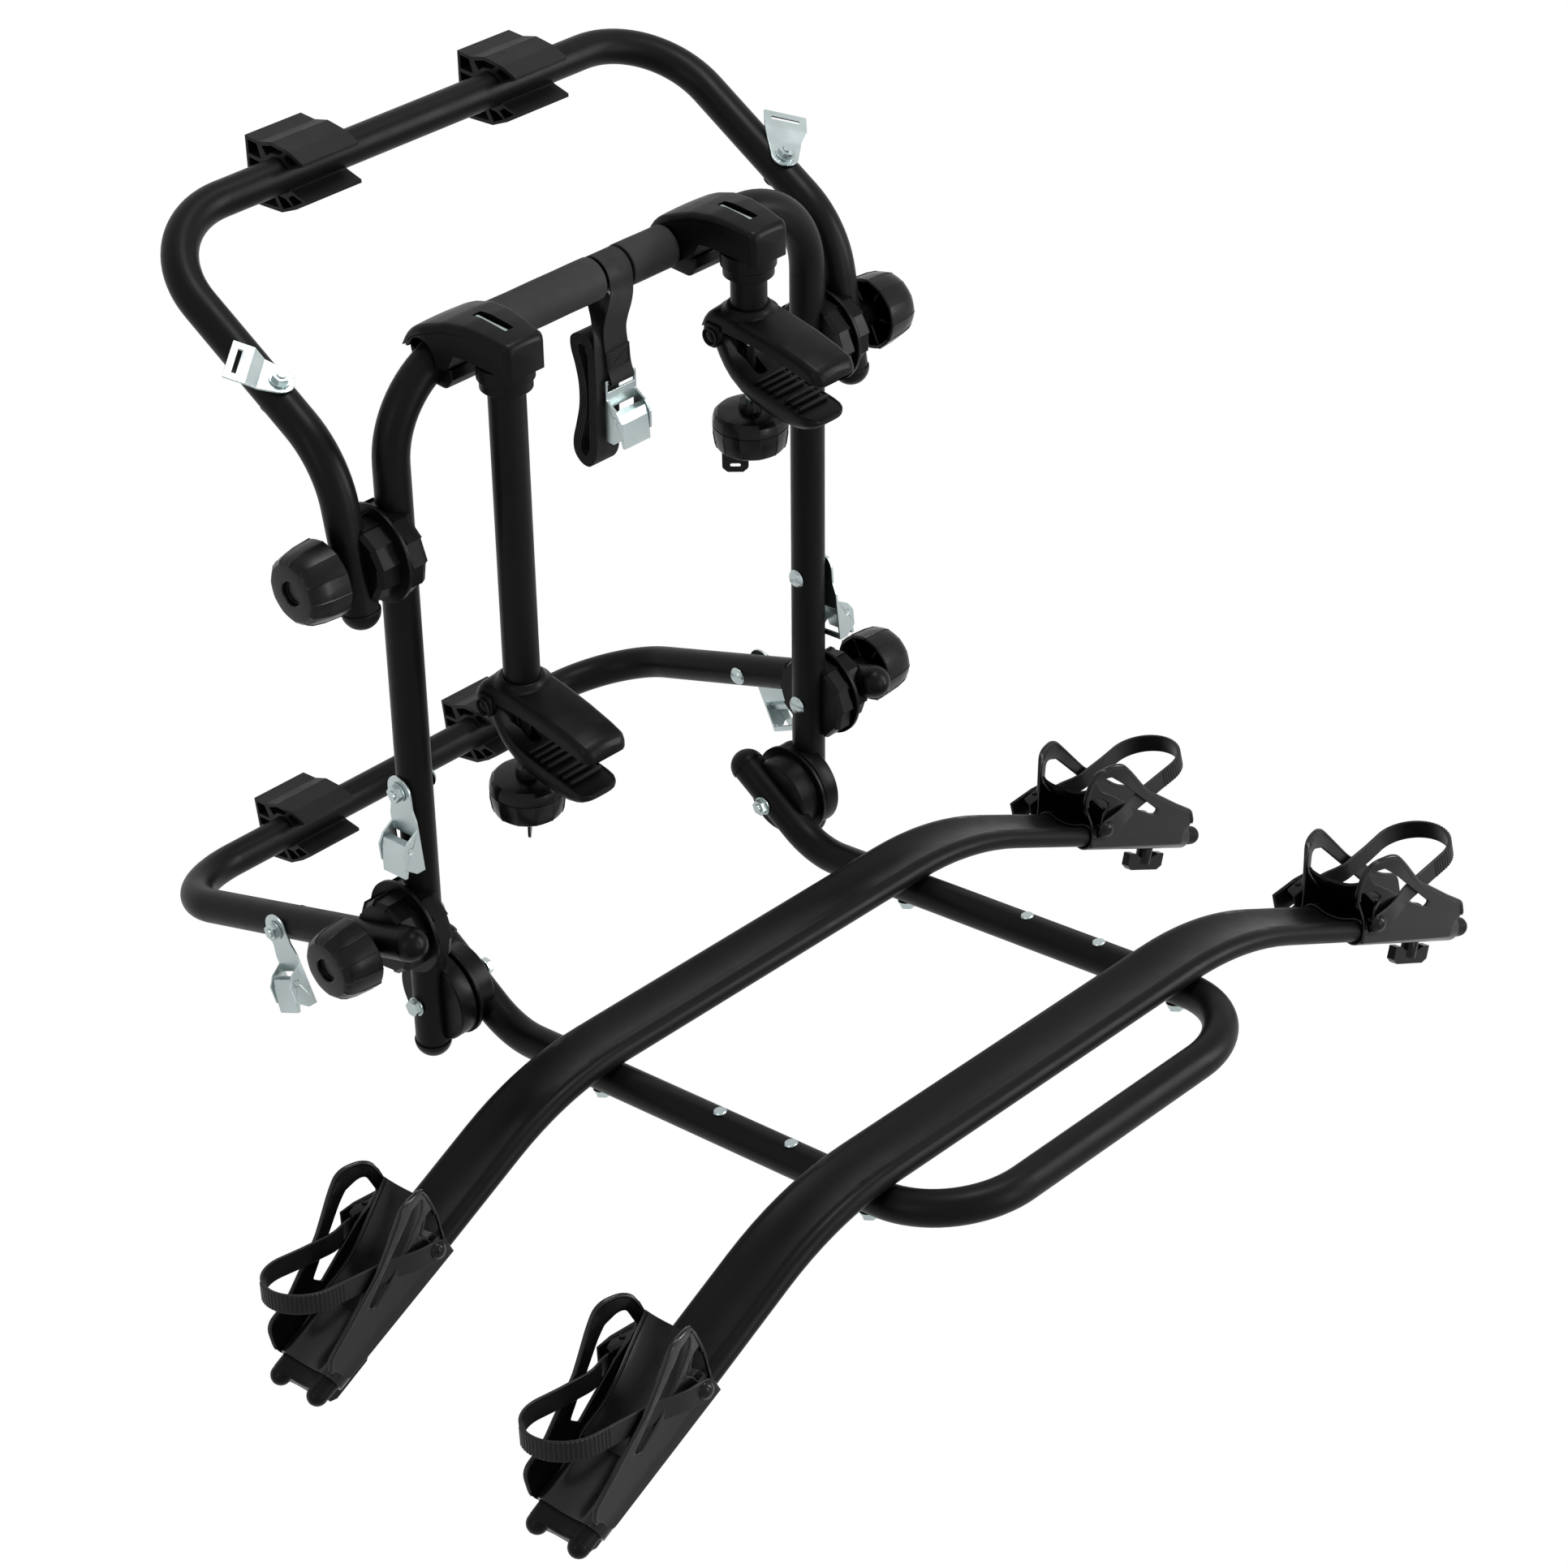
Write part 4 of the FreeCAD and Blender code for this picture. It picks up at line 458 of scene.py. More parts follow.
def channel_height(x, y):
    """Top of the tyre channel: it falls outward in a hollow curve, and its sides climb to the plates."""
    left = max(0.0, 1 - (x + 12) / 76)
    return 11.5 + 28.5 * left ** 2.2 + (2.5 + 5.5 * left) * abs(y / PLATE_Y) ** 3


def flared(sign, x, z, depth):
    """Point on a side plate, depth inward from its outer face. The inner end curls in round the tyre."""
    out = PLATE_Y + PLATE_T - depth + max(0.0, z - 4) * FLARE
    curl = (1 - min(1.0, max(0.0, (x + 4) / 34))) ** 2
    curl *= smooth_step((z - 4) / 34) * (1 - 0.45 * smooth_step((z - 52) / 20))
    return Vector((x - 11 * curl, sign * (out - 9 * curl), z))


def take_in(shape, part):
    """Add one form to another and give up the first."""
    mesh = bpy.data.meshes.new("part")
    part.to_mesh(mesh)
    part.free()
    shape.from_mesh(mesh)
    bpy.data.meshes.remove(mesh)


def add_side_plate(shape, sign, corners, windows, dish, rim_from, rim_to):
    """Flared plate, bent out of a flat one, with a rolled rim along its upper edge."""
    flat = bmesh.new()
    outline = rounded(corners)
    add_plate(flat, outline, [rounded(window) for window in windows], PLATE_T, 1.2)
    slice_up(flat, (1, 0, 0), 3, 140, 6)
    slice_up(flat, (0, 1, 0), 4, 74, 6)

    def bowed(x, z, depth):
        bow = dish * math.sin(math.pi * min(1.0, max(0.0, z / 60))) * (1 - min(1.0, x / 120))
        return flared(sign, x, z, depth + bow)

    for vert in flat.verts:
        vert.co = bowed(vert.co.x, vert.co.y, PLATE_T / 2 - vert.co.z)
    take_in(shape, flat)
    edge = [p for p in outline if p.y > rim_from or (p.x > 60 and p.y > rim_to)]
    path = []
    for start, stop in zip(edge, edge[1:]):
        pieces = max(1, int((stop - start).length / 6))
        path += [start.lerp(stop, k / pieces) for k in range(pieces)]
    middle = Vector((40, 30))
    rolled = [p + (middle - p).normalized() * 1.4 for p in path]
    add_tube(shape, [bowed(p.x, p.y, 0.9) for p in rolled], 2.3)


def wheel_holder():
    """Sleeve, tyre channel with its side beads, and the two plates."""
    shape = bmesh.new()
    across = Matrix(((0, 0, 1, 0), (1, 0, 0, 0), (0, 1, 0, 0), (0, 0, 0, 1)))
    middle = Matrix.Translation((SLEEVE_LENGTH / 2, 0, 0))
    add_plate(shape, tray_bore(3.0), [tray_bore(0.4)], SLEEVE_LENGTH, 0.9, middle @ across)
    add_side_plate(shape, 1, [(0, -6, 0), (-2, 30, 30), (-5, 66, 12), (10, 76, 14), (60, 49.5, 60),
                              (112, 31.5, 60), (137, 31, 12), (146, 8, 16), (136, -8, 6)],
                   [[(4, 37, 5), (3, 58, 10), (17, 58, 5), (84, 26.5, 2), (80, 19, 2), (38, 27, 30),
                     (13, 31, 9)]], 0, 14, 8)
    add_side_plate(shape, -1, [(0, -8, 0), (-3, 30, 30), (-4, 66, 10), (11, 75, 14), (60, 48, 60),
                               (110, 33, 40), (134, 27, 9), (141, 17, 4), (136, 10, 4), (134, -6, 6)],
                   [[(0, 55, 3), (9, 60.5, 4), (84, 29, 3), (79, 24, 3), (52, 30, 20), (6, 46, 5)],
                    [(7, 0, 2), (1, 12, 8), (-2, 24, 8), (-1, 36, 7), (8, 39, 6), (16, 34, 3),
                     (12, 25, 6),
                     (9.5, 8, 3)]], 2.0, 14, 14)
    rows = []
    steps = 24
    for k in range(steps + 1):
        x = -13 + 99 * k / steps
        reach = PLATE_Y + 0.4 - 6 * (1 - min(1.0, (x + 13) / 40)) ** 2
        for depth in (0, 2.6):
            rows.append([Vector((x, reach * (j / 11 - 1), channel_height(x,
                                                                         reach * (j / 11 - 1)) - depth))
                         for j in range(23)])
    for k in range(steps):
        top, under, next_top, next_under = rows[2 * k:2 * k + 4]
        add_loft(shape, [top + under[::-1], next_top + next_under[::-1]], closed=False)
    for ring in (rows[0] + rows[1][::-1], rows[-2] + rows[-1][::-1]):
        shape.faces.new([shape.verts.new(point) for point in ring])
    bmesh.ops.remove_doubles(shape, verts=shape.verts, dist=0.01)
    for side in (-1, 1):
        path = []
        for x in range(-12, 87, 6):
            y = side * (PLATE_Y - 1.6 - 6 * (1 - min(1.0, (x + 13) / 40)) ** 2)
            path.append(Vector((x, y, channel_height(x, y) - 0.2)))
        path += [Vector((x, side * (PLATE_Y - 1.6 - 5 * (x - 84) / 59), 12.2 - (x - 84) * 0.06))
                 for x in range(92, 141, 12)]
        add_tube(shape, path, 1.2)
    return shape


holder_nylon = finish_of("holder_nylon", (0.002, 0.002, 0.0023), (0.0035, 0.0035, 0.004), (0.2, 0.27),
                         0.0012,
                         0.00003, level=0.26)
for tray in TRAY_PLACE:
    for side in ("left", "right"):
        ending = tray + "_" + side
        shell = make_piece("holder_shell_" + ending, wheel_holder(), holder_nylon,
                           "wheel_holder_" + ending, holder_place(tray, side))
        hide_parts("wheel_holder_" + ending)

# Wheel straps
# Each is a 17.5 mm band of stiff nylon, riveted to the near plate, that passes through both windows
# and ends in a ratchet on the far plate. Fine teeth cross its outer face round the loop.
STRAP_W = 17.5
STRAP_T = 2.5
STRAP_STEP = 0.7
TOOTH = 0.75
RIVET_X = 11.5
RIVET_Z = 12.0


def strap_frame(tray, side):
    return holder_place(tray, side) @ Matrix.Translation((RIVET_X, 0, RIVET_Z)) @ Matrix.Rotation(
        math.radians(-31), 4, "Y")


def bent_route(corners, spacing):
    """Points at even spacing along (x, y, bend radius) corners joined by round bends."""
    fine = []
    for k, (x, y, radius) in enumerate(corners):
        corner = Vector((x, y))
        if radius == 0:
            fine.append(corner)
            continue
        before = (Vector(corners[k - 1][:2]) - corner).normalized()
        after = (Vector(corners[k + 1][:2]) - corner).normalized()
        half = before.angle(after) / 2
        reach = radius / math.tan(half)
        centre = corner + (before + after).normalized() * radius / math.sin(half)
        start, end = corner + before * reach - centre, corner + after * reach - centre
        turn = start.angle_signed(end)
        for j in range(25):
            fine.append(centre + Matrix.Rotation(-turn * j / 24, 2) @ start)
    points = [fine[0]]
    left = spacing
    for start, end in zip(fine, fine[1:]):
        span = (end - start).length
        at = left
        while at <= span:
            points.append(start.lerp(end, at / span))
            at += spacing
        left = at - span
    return points


def wheel_strap():
    """Band along its route in the strap's own plane, toothed outside the loop."""
    outside = 39.4
    inside = 34.0
    seat = 41.85 + 0.6
    corners = [(-8.5, -outside, 0), (20, -outside - 0.8, 60), (46, -inside, 60), (135, -32.1, 34),
               (135, 37.1, 34), (80, inside, 100), (46, inside, 38), (26, seat, 38),
               (-2, seat + 0.4, 0)]
    route = bent_route(corners, STRAP_STEP)
    shape = bmesh.new()
    rings = []
    teeth_from = len(route) * 0.30
    teeth_to = len(route) * 0.56
    for k, point in enumerate(route):
        along = (route[min(k + 1, len(route) - 1)] - route[max(k - 1, 0)]).normalized()
        out = Vector((along.y, -along.x))
        raised = TOOTH if teeth_from < k < teeth_to and k % 5 < 3 else 0.0
        half = STRAP_W / 2
        from_end = k * STRAP_STEP + 0.8
        if from_end < half:
            half = math.sqrt(max(0.6, half ** 2 - (half - from_end) ** 2))
        ring = []
        for across, through in ((-1, -0.6), (-0.94, -1), (0.94, -1), (1, -0.6), (1, 0.6), (0.94, 1),
                                (0.9, 1),
                                (-0.9, 1), (-0.94, 1), (-1, 0.6)):
            depth = through * STRAP_T / 2
            if through == 1 and abs(across) <= 0.9:
                depth += raised
            flat = point + out * depth
            ring.append(Vector((flat.x, flat.y, across * half)))
        rings.append(ring)
    add_loft(shape, rings)
    return shape


def strap_rivet():
    shape = bmesh.new()
    at = Matrix.Translation((0, -40.6, 0)) @ Matrix.Rotation(math.radians(90), 4, "X")
    dome = [(0.1, 5.0)]
    for angle in (20, 40, 60, 75):
        dome.append((7.2 * math.sin(math.radians(angle)), 5.0 * math.cos(math.radians(angle))))
    add_turned(shape, dome + [(7.4, 0.6), (7.4, 0), (3, 0), (3, -11), (0.1, -11)], at)
    return shape


def ratchet():
    """Catch on the far plate: a channel-shaped base and a sprung lever on its axle."""
    seat = 39.0
    half = STRAP_W / 2 + 2.2
    shape = bmesh.new()
    cheek = rounded([(-16, seat, 1), (22, seat, 1), (20, seat + 8, 3), (10, seat + 14, 4),
                     (-10, seat + 13, 4)])
    for z in (-half + 1, half - 1):
        add_plate(shape, cheek, [], 2, 0.4, Matrix.Translation((0, 0, z)))
    base = rounded([(-16, -half, 1.5), (22, -half, 1.5), (22, half, 1.5), (-16, half, 1.5)])
    flat = Matrix(((1, 0, 0, 0), (0, 0, 1, 0), (0, 1, 0, 0), (0, 0, 0, 1)))
    add_plate(shape, base, [], 2, 0.4, Matrix.Translation((0, seat + 1, 0)) @ flat)
    lever = rounded([(-22, seat + 17, 1), (6, seat + 15.5, 3), (24, seat + 12, 1), (25, seat + 14.5, 1),
                     (7, seat + 19, 3), (-22, seat + 20.5, 1)])
    add_plate(shape, lever, [], 2 * half, 0.7)
    web = rounded([(-1, seat + 9, 1), (5, seat + 9, 1), (5, seat + 16, 1), (-1, seat + 17, 1)])
    add_plate(shape, web, [], 2 * half - 4.6, 0.4)
    add_turned(shape, [(0.1, -half - 1), (2.6, -half - 1), (2.6, half + 1), (0.1, half + 1)],
               Matrix.Translation((2, seat + 10.5, 0)), 16)
    return shape


strap_nylon = finish_of("strap_nylon", (0.007, 0.007, 0.0075), (0.009, 0.009, 0.0095), (0.36, 0.44),
                        0.0007,
                        0.00001, level=0.18)
for tray in TRAY_PLACE:
    for side in ("left", "right"):
        ending = tray + "_" + side
        body = "wheel_holder_" + ending
        place = strap_frame(tray, side)
        band = make_piece("strap_band_" + ending, wheel_strap(), strap_nylon, body,
                          place, 30)
        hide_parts("wheel_strap_" + ending)
        make_piece("strap_rivet_" + ending, strap_rivet(), gloss_black, body, place)
        make_piece("strap_ratchet_" + ending, ratchet(), moulded_black, body, place)

# Bike arm heads
# Each arm hangs from a moulded nylon head clipped over the top bar: a lid with a slot that shows a zinc
# bar, a body below it, a nose cap, a clamp half under the bar and a collar round the arm.
HEAD_X = {"left": -163.0, "right": 96.5}
BAR_Z = 602.3
ARM_Y = -65.0
side_on = Matrix(((0, 0, 1, 0), (1, 0, 0, 0), (0, 1, 0, 0), (0, 0, 0, 1)))


def between(table, at):
    """Value at a place in a table of (place, value), eased between its entries."""
    for (low, first), (high, second) in zip(table, table[1:]):
        if low <= at <= high:
            return first + (second - first) * (at - low) / (high - low)
    return table[0][1] if at < table[0][0] else table[-1][1]


def crowned_ring(y, half, low, high, round_over, crown):
    """Section across a moulded cover: upright sides, rounded upper edges and a slightly crowned top."""
    round_over = min(round_over, half * 0.9, (high - low) * 0.9)
    ring = [Vector((half, y, low)), Vector((half, y, (low + high - round_over) / 2))]
    for k in range(7):
        angle = math.radians(90 * k / 6)
        x = half - round_over * (1 - math.cos(angle))
        z = high - crown - round_over * (1 - math.sin(angle))
        ring.append(Vector((x, y, z)))
    inner = half - round_over
    for k in range(1, 8):
        x = inner * (1 - k / 4)
        ring.append(Vector((x, y, high - crown * (x / inner) ** 2)))
    ring += [Vector((-point.x, y, point.z)) for point in reversed(ring[:9])]
    return ring


def cut_away(shape, cutter):
    """Take one form out of another."""
    kept, taken = bpy.data.meshes.new("kept"), bpy.data.meshes.new("taken")
    for form, mesh in ((shape, kept), (cutter, taken)):
        bmesh.ops.recalc_face_normals(form, faces=form.faces)
        form.to_mesh(mesh)
        form.free()
    base, tool = bpy.data.objects.new("kept", kept), bpy.data.objects.new("taken", taken)
    bpy.context.scene.collection.objects.link(base)
    bpy.context.scene.collection.objects.link(tool)
    cut = base.modifiers.new("cut", "BOOLEAN")
    cut.operation = "DIFFERENCE"
    cut.solver = "EXACT"
    cut.object = tool
    result = bpy.data.meshes.new_from_object(base.evaluated_get(bpy.context.evaluated_depsgraph_get()))
    carved = bmesh.new()
    carved.from_mesh(result)
    for item in (base, tool):
        bpy.data.objects.remove(item)
    for mesh in (kept, taken, result):
        bpy.data.meshes.remove(mesh)
    return carved


def rounded_block(size, place, rim):
    block = bmesh.new()
    x, y, z = size
    add_plate(block, rounded([(-x / 2, -y / 2, rim), (x / 2, -y / 2, rim), (x / 2, y / 2, rim),
                              (-x / 2, y / 2, rim)], 3), [], z, rim * 0.6, Matrix.Translation(place))
    return block


def stations(low, high, count, *extra):
    places = [low + (high - low) * k / count for k in range(count + 1)]
    return sorted(places + list(extra))


HEAD_TOP = [(-92, 30), (-91, 34), (-88, 36.6), (-84, 37.6), (-65, 40), (-45, 40.6), (-25, 37.5),
            (-4, 29.5), (8, 23.5),
            (15, 18), (20, 11.5), (23, 6), (24.2, 2)]
HEAD_LOW = [(-92, 8), (-45, 12), (-34, 11), (-27, -4), (-15.4, -5), (-15.3, 0.2), (-11, 10.8),
            (-5, 14.7), (0, 15.5),
            (5, 14.8), (11, 10.9), (15.2, 3), (18, 2), (24.2, 1)]


def head_half(y):
    return min(29.5, 29.5 - 10.4 * (-4 - y) / 87) if y < -4 else 29.5 - 2.2 * ((y + 4) / 28) ** 2


def head_lid():
    lid = bmesh.new()
    rings = []
    for y in stations(-85.5, 23.8, 30):
        high = between(HEAD_TOP, y)
        low = max(high - 8.5, between(HEAD_LOW, y) + 0.2)
        rings.append(crowned_ring(y, head_half(y), min(low, high - 1), high, 4.5, 0.8))
    add_loft(lid, rings)
    lid = cut_away(lid, rounded_block((9, 38, 16), (0, -53, 40), 1.0))
    return lid


def head_body():
    body = bmesh.new()
    rings = []
    for y in stations(-85.2, 22.5, 34, -15.4, -15.3):
        high = between(HEAD_TOP, y) - 8.9
        low = between(HEAD_LOW, y)
        if high - low > 1:
            half = head_half(y) - 0.5
            rings.append(crowned_ring(y, half, low, high, 0.6, 0.05))
    add_loft(body, rings)
    return body


def head_nose():
    nose = bmesh.new()
    rings = []
    for y in (-84.6, -86, -88, -89.8, -90.9, -91.4):
        curve = math.sqrt(max(0.0, 1 - ((-84.6 - y) / 7.2) ** 2))
        half = 14 + (head_half(y) + 0.1 - 14) * curve
        rings.append(crowned_ring(y, half, 8 - 1.5 * curve, 30 + 7.9 * curve, 5, 0.8))
    add_loft(nose, rings)
    return nose


def head_collar():
    collar = bmesh.new()
    at = Matrix.Translation((0, ARM_Y, 0))
    add_turned(collar, [(15.3, -12.3), (20.2, -12.3), (21, -11.6), (21, -4.4), (22.3, -3.6),
                        (23, -2.8), (23, 9),
                        (15.3, 9)], at, 48)
    outline = [(-15.4, -5.3, 0.5), (-26, -5.3, 1), (-27, -14, 3), (-20, -24.5, 8), (6, -24.5, 8),
               (18, -17, 5),
               (21, 0.4, 0.6), (15.4, -0.3, 0.3)]
    bore = arc_of((0, 0), 15.4, -1, -160, 16)
    add_plate(collar, rounded(outline) + bore[1:-1], [], 44, 1.2, side_on)
    return collar


def head_bar():
    return rounded_block((3.2, 37, 4.4), (-0.6, -53, 35.6), 1.2)


for side, x in HEAD_X.items():
    body = "holder_head_" + side
    place = Matrix.Translation((x, 0, BAR_Z))
    lid = make_piece("head_lid_" + side, head_lid(), moulded_black, body, place, 34)
    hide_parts("holder_head_" + side)
    make_piece("head_body_" + side, head_body(), moulded_black, body, place, 34)
    make_piece("head_nose_" + side, head_nose(), moulded_black, body, place, 34)
    make_piece("head_collar_" + side, head_collar(), moulded_black, body, place, 34)
    make_piece("head_bar_" + side, head_bar(), zinc_plate, body, place, 34)

# Claws
# Each claw is a pair of moulded nylon jaws on a hinge pin: an arched upper jaw with a collar round the
# arm, and a scoop below it with a ribbed rubber pad. A zinc screw runs through both.
SCREW_Y = -19.0
SCREW_R = 4.0
SCREW_SLOT = (11, 34, 90)
CLAW_Z = {"left": 299.6, "right": 535.0}
UPPER_TOP = [(-120, 3), (-118.5, 6.5), (-114, 10.5), (-100, 14.6), (-75, 19.6), (-45, 23.4), (-19, 26),
             (0, 24.6), (6, 21.5),
             (11, 15.5), (14.5, 8)]
UPPER_LOW = [(-120, -3.4), (-118, -4), (-100, -0.5), (-75, 3.6), (-55, 7), (-40, 8), (-14, 8),
             (-9, 6.5), (0, 9),
             (9, 6), (14.5, 4)]


def upper_half(y):
    if y < -111:
        return 13 + 9 * math.sqrt(max(0.02, 1 - ((-111 - y) / 9.1) ** 2))
    return 24 if y > -46 else 24 - 2 * (-46 - y) / 65


def jaw_above():
    jaw = bmesh.new()
    rings = []
    for y in stations(-119.8, 14.2, 40, -119, -117):
        high, low = between(UPPER_TOP, y), between(UPPER_LOW, y)
        half = upper_half(y) - (max(0.0, y - 4) / 10) ** 2 * 2.5
        rings.append(crowned_ring(y, half, min(low, high - 2), high, 6.5, 1.4))
    add_loft(jaw, rings)
    collar = [(24.5, 22.5), (21.5, 24.2), (19.6, 26), (18.4, 28), (17.2, 28.6), (15.2, 28.2),
              (15.2, 20), (20, 20)]
    add_turned(jaw, collar, Matrix.Translation((0, SCREW_Y, 0)), 48)
    return jaw


def jaw_hinge():
    """Ears and ringed bosses at the ends of the hinge pin."""
    hinge = bmesh.new()
    for sign in (-1, 1):
        ear = rounded([(9, -6, 6), (3, -9.5, 6), (-6, -9, 6), (-10, -1, 5), (-10, 12, 3), (7, 12, 3)])
        add_plate(hinge, ear, [], 5, 1.0, Matrix.Translation((sign * 23.4, 0, 0)) @ side_on)
        out = Matrix.Translation((sign * 25.5, 0, 0)) @ Matrix.Rotation(math.radians(90 * sign), 4, "Y")
        add_turned(hinge, [(0.1, 1.1), (5.0, 0.9), (5.6, 0.4), (6.0, 0.4), (6.6, 1.7), (7.6, 1.9),
                           (8.3, 1.2),
                           (8.5, -1.5), (0.1, -1.5)], out, 36)
    return hinge


def clamp_screw():
    screw = bmesh.new()
    add_turned(screw, [(0.1, 9.4), (SCREW_R, 9.4), (SCREW_R, -91.5), (3.2, -92.0), (0.1, -92.0)],
               Matrix.Translation((0, SCREW_Y, 0)),
               24)
    return screw


def screw_sleeve():
    sleeve = bmesh.new()
    add_turned(sleeve, [(4.1, -9), (5.0, -9.4), (5.2, -11), (5.2, -39), (4.1, -39.5)],
               Matrix.Translation((0, SCREW_Y, 0)), 24)
    return sleeve


SCOOP = [((6.5, 3.2), (7.2, -3.5)), ((-0.5, 7.2), (7.0, -9)), ((-6.5, 3.2), (4.6, -16)),
         ((-11, -6), (0, -24)), ((-15.5, -14), (-6, -32)), ((-21.5, -21.5), (-14, -39.5)),
         ((-30, -27), (-25, -46.5)), ((-42, -31), (-40, -52)), ((-56, -33.6), (-56, -55.3)),
         ((-72, -35.4), (-73, -56.6)), ((-86, -36.9), (-88, -55.6)), ((-96, -38), (-98, -52.6)),
         ((-102.5, -38.9), (-104, -49.8)), ((-107, -39.8), (-107.8, -47.4)),
         ((-109.4, -40.6), (-109.8, -46)), ((-110.4, -41.6), (-110.6, -44.8))]


def scoop_half(y):
    if y < -101:
        return 10.5 + 9.5 * math.sqrt(max(0.03, 1 - ((-101 - y) / 9.6) ** 2))
    return 20.5


def jaw_below():
    """Hull-shaped scoop with a lip round its top."""
    jaw = bmesh.new()
    section = [(-1, 1), (-0.97, 1.05), (-0.9, 1.05), (-0.87, 1), (0, 0.98), (0.87, 1), (0.9, 1.05),
               (0.97, 1.05), (1, 1),
               (1, 0.72), (0.98, 0.5), (0.92, 0.3), (0.8, 0.14), (0.6, 0.04), (0.3, 0), (0, 0),
               (-0.3, 0), (-0.6, 0.04),
               (-0.8, 0.14), (-0.92, 0.3), (-0.98, 0.5), (-1, 0.72)]
    rings = []
    for high, low in SCOOP:
        half = scoop_half((high[0] + low[0]) / 2)
        ring = []
        for across, up in section:
            y = low[0] + (high[0] - low[0]) * up
            z = low[1] + (high[1] - low[1]) * up
            ring.append(Vector((across * half, y, z)))
        rings.append(ring)
    add_loft(jaw, rings)
    return cut_away(jaw, rounded_block(SCREW_SLOT, (0, SCREW_Y, -45), 4))


def jaw_pad():
    """Rubber pad inside the lip, with bars across it."""
    pad = bmesh.new()
    tops = [Vector((0, y, z)) for (y, z), low in SCOOP[3:13]]
    path = [tops[0]]
    for start, stop in zip(tops, tops[1:]):
        path += [start.lerp(stop, k / 4) for k in range(1, 5)]
    rings = []
    for k, point in enumerate(path):
        along = (path[min(k + 1, len(path) - 1)] - path[max(k - 1, 0)]).normalized()
        up = Vector((0, -along.z, along.y)) * (-1 if along.y < 0 else 1)
        half = scoop_half(point.y) - 3.6
        ring = []
        for x, rise in ((half, -1), (half, 1.0), (half - 0.8, 1.7), (0, 1.8), (0.8 - half, 1.7),
                        (-half, 1.0), (-half, -1)):
            ring.append(Vector((x, point.y, point.z)) + up * rise)
        rings.append(ring)
    add_loft(pad, rings)
    walked = 0.0
    bar_at = 5.0
    for start, stop in zip(path, path[1:]):
        walked += (stop - start).length
        if walked >= bar_at and bar_at < 92:
            bar_at += 8.4
            along = (stop - start).normalized()
            up = Vector((0, -along.z, along.y)) * (-1 if along.y < 0 else 1)
            half = scoop_half(stop.y) - 4.2
            bar = Matrix((Vector((1, 0, 0)), along, up)).transposed().to_4x4()
            bar.translation = stop + up * 2.2
            lump = bmesh.new()
            add_plate(lump, rounded([(-half, -1.4, 0.6), (half, -1.4, 0.6), (half, 1.4, 0.6),
                                     (-half, 1.4, 0.6)], 2),
                      [], 3.0, 0.6, bar)
            take_in(pad, lump)
    return cut_away(pad, rounded_block(SCREW_SLOT, (0, SCREW_Y, -45), 4))


for side, x in HEAD_X.items():
    body = "bike_arm_" + side
    place = Matrix.Translation((x, -46, CLAW_Z[side]))
    above = make_piece("jaw_above_" + side, jaw_above(), moulded_black, body, place, 38)
    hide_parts("upper_jaw_" + side)
    make_piece("jaw_hinge_" + side, jaw_hinge(), moulded_black, body, place)
    make_piece("clamp_screw_" + side, clamp_screw(), zinc_plate, body, place)
    make_piece("screw_sleeve_" + side, screw_sleeve(), moulded_black, body, place)
    below = make_piece("jaw_below_" + side, jaw_below(), moulded_black,
                       "lower_jaw_" + side, place, 38)
    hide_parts("lower_jaw_" + side)
    make_piece("jaw_pad_" + side, jaw_pad(), black_rubber, "lower_jaw_" + side, place)

# Foam sleeves
# Two lengths of closed-cell foam tube slid over the top bar and cut square, with a fine matte skin. The
# gap between them is left bare for the strap.
foam_skin = finish_of("foam_skin", (0.022, 0.022, 0.0225), (0.029, 0.029, 0.0295), (0.6, 0.7), 0.0007,
                      0.00005,
                      level=0.12)
FOAM_BORE = 15.35
FOAM_R = 18.2
FOAM_ENDS = {"outer_left": (-132.0, -13.5), "inner_right": (17.0, 65.5)}


def foam_sleeve(start, stop):
    """Tube along X with soft cut edges, pressed a little out of round."""
    sleeve = bmesh.new()
    length = stop - start
    profile = [(FOAM_BORE, 0), (17.2, 0), (17.9, 0.25), (FOAM_R, 0.9)]
    profile += [(FOAM_R, length * k / 10) for k in range(1, 10)]
    profile += [(FOAM_R, length - 0.9), (17.9, length - 0.25), (17.2, length), (FOAM_BORE, length)]
    rings = []
    for radius, height in profile:
        ring = []
        for k in range(56):
            angle = 2 * math.pi * k / 56
            soft = 0.12 * math.sin(3 * angle + height * 0.05) + 0.08 * math.sin(height * 0.13)
            r = radius + (soft if radius > 17 else 0)
            ring.append(Vector((height + start, r * math.cos(angle), r * math.sin(angle))))
        rings.append(ring)
    add_loft(sleeve, rings + [rings[0]], closed=False)
    bmesh.ops.remove_doubles(sleeve, verts=sleeve.verts, dist=0.001)
    return sleeve


for number, (name, (start, stop)) in enumerate(FOAM_ENDS.items()):
    sleeve = make_piece("foam_sleeve_" + name, foam_sleeve(start, stop), foam_skin,
                        "main_frame",
                        Matrix.Translation((0, 0, BAR_Z)))
    if number == 0:
        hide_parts("foam_sleeves")

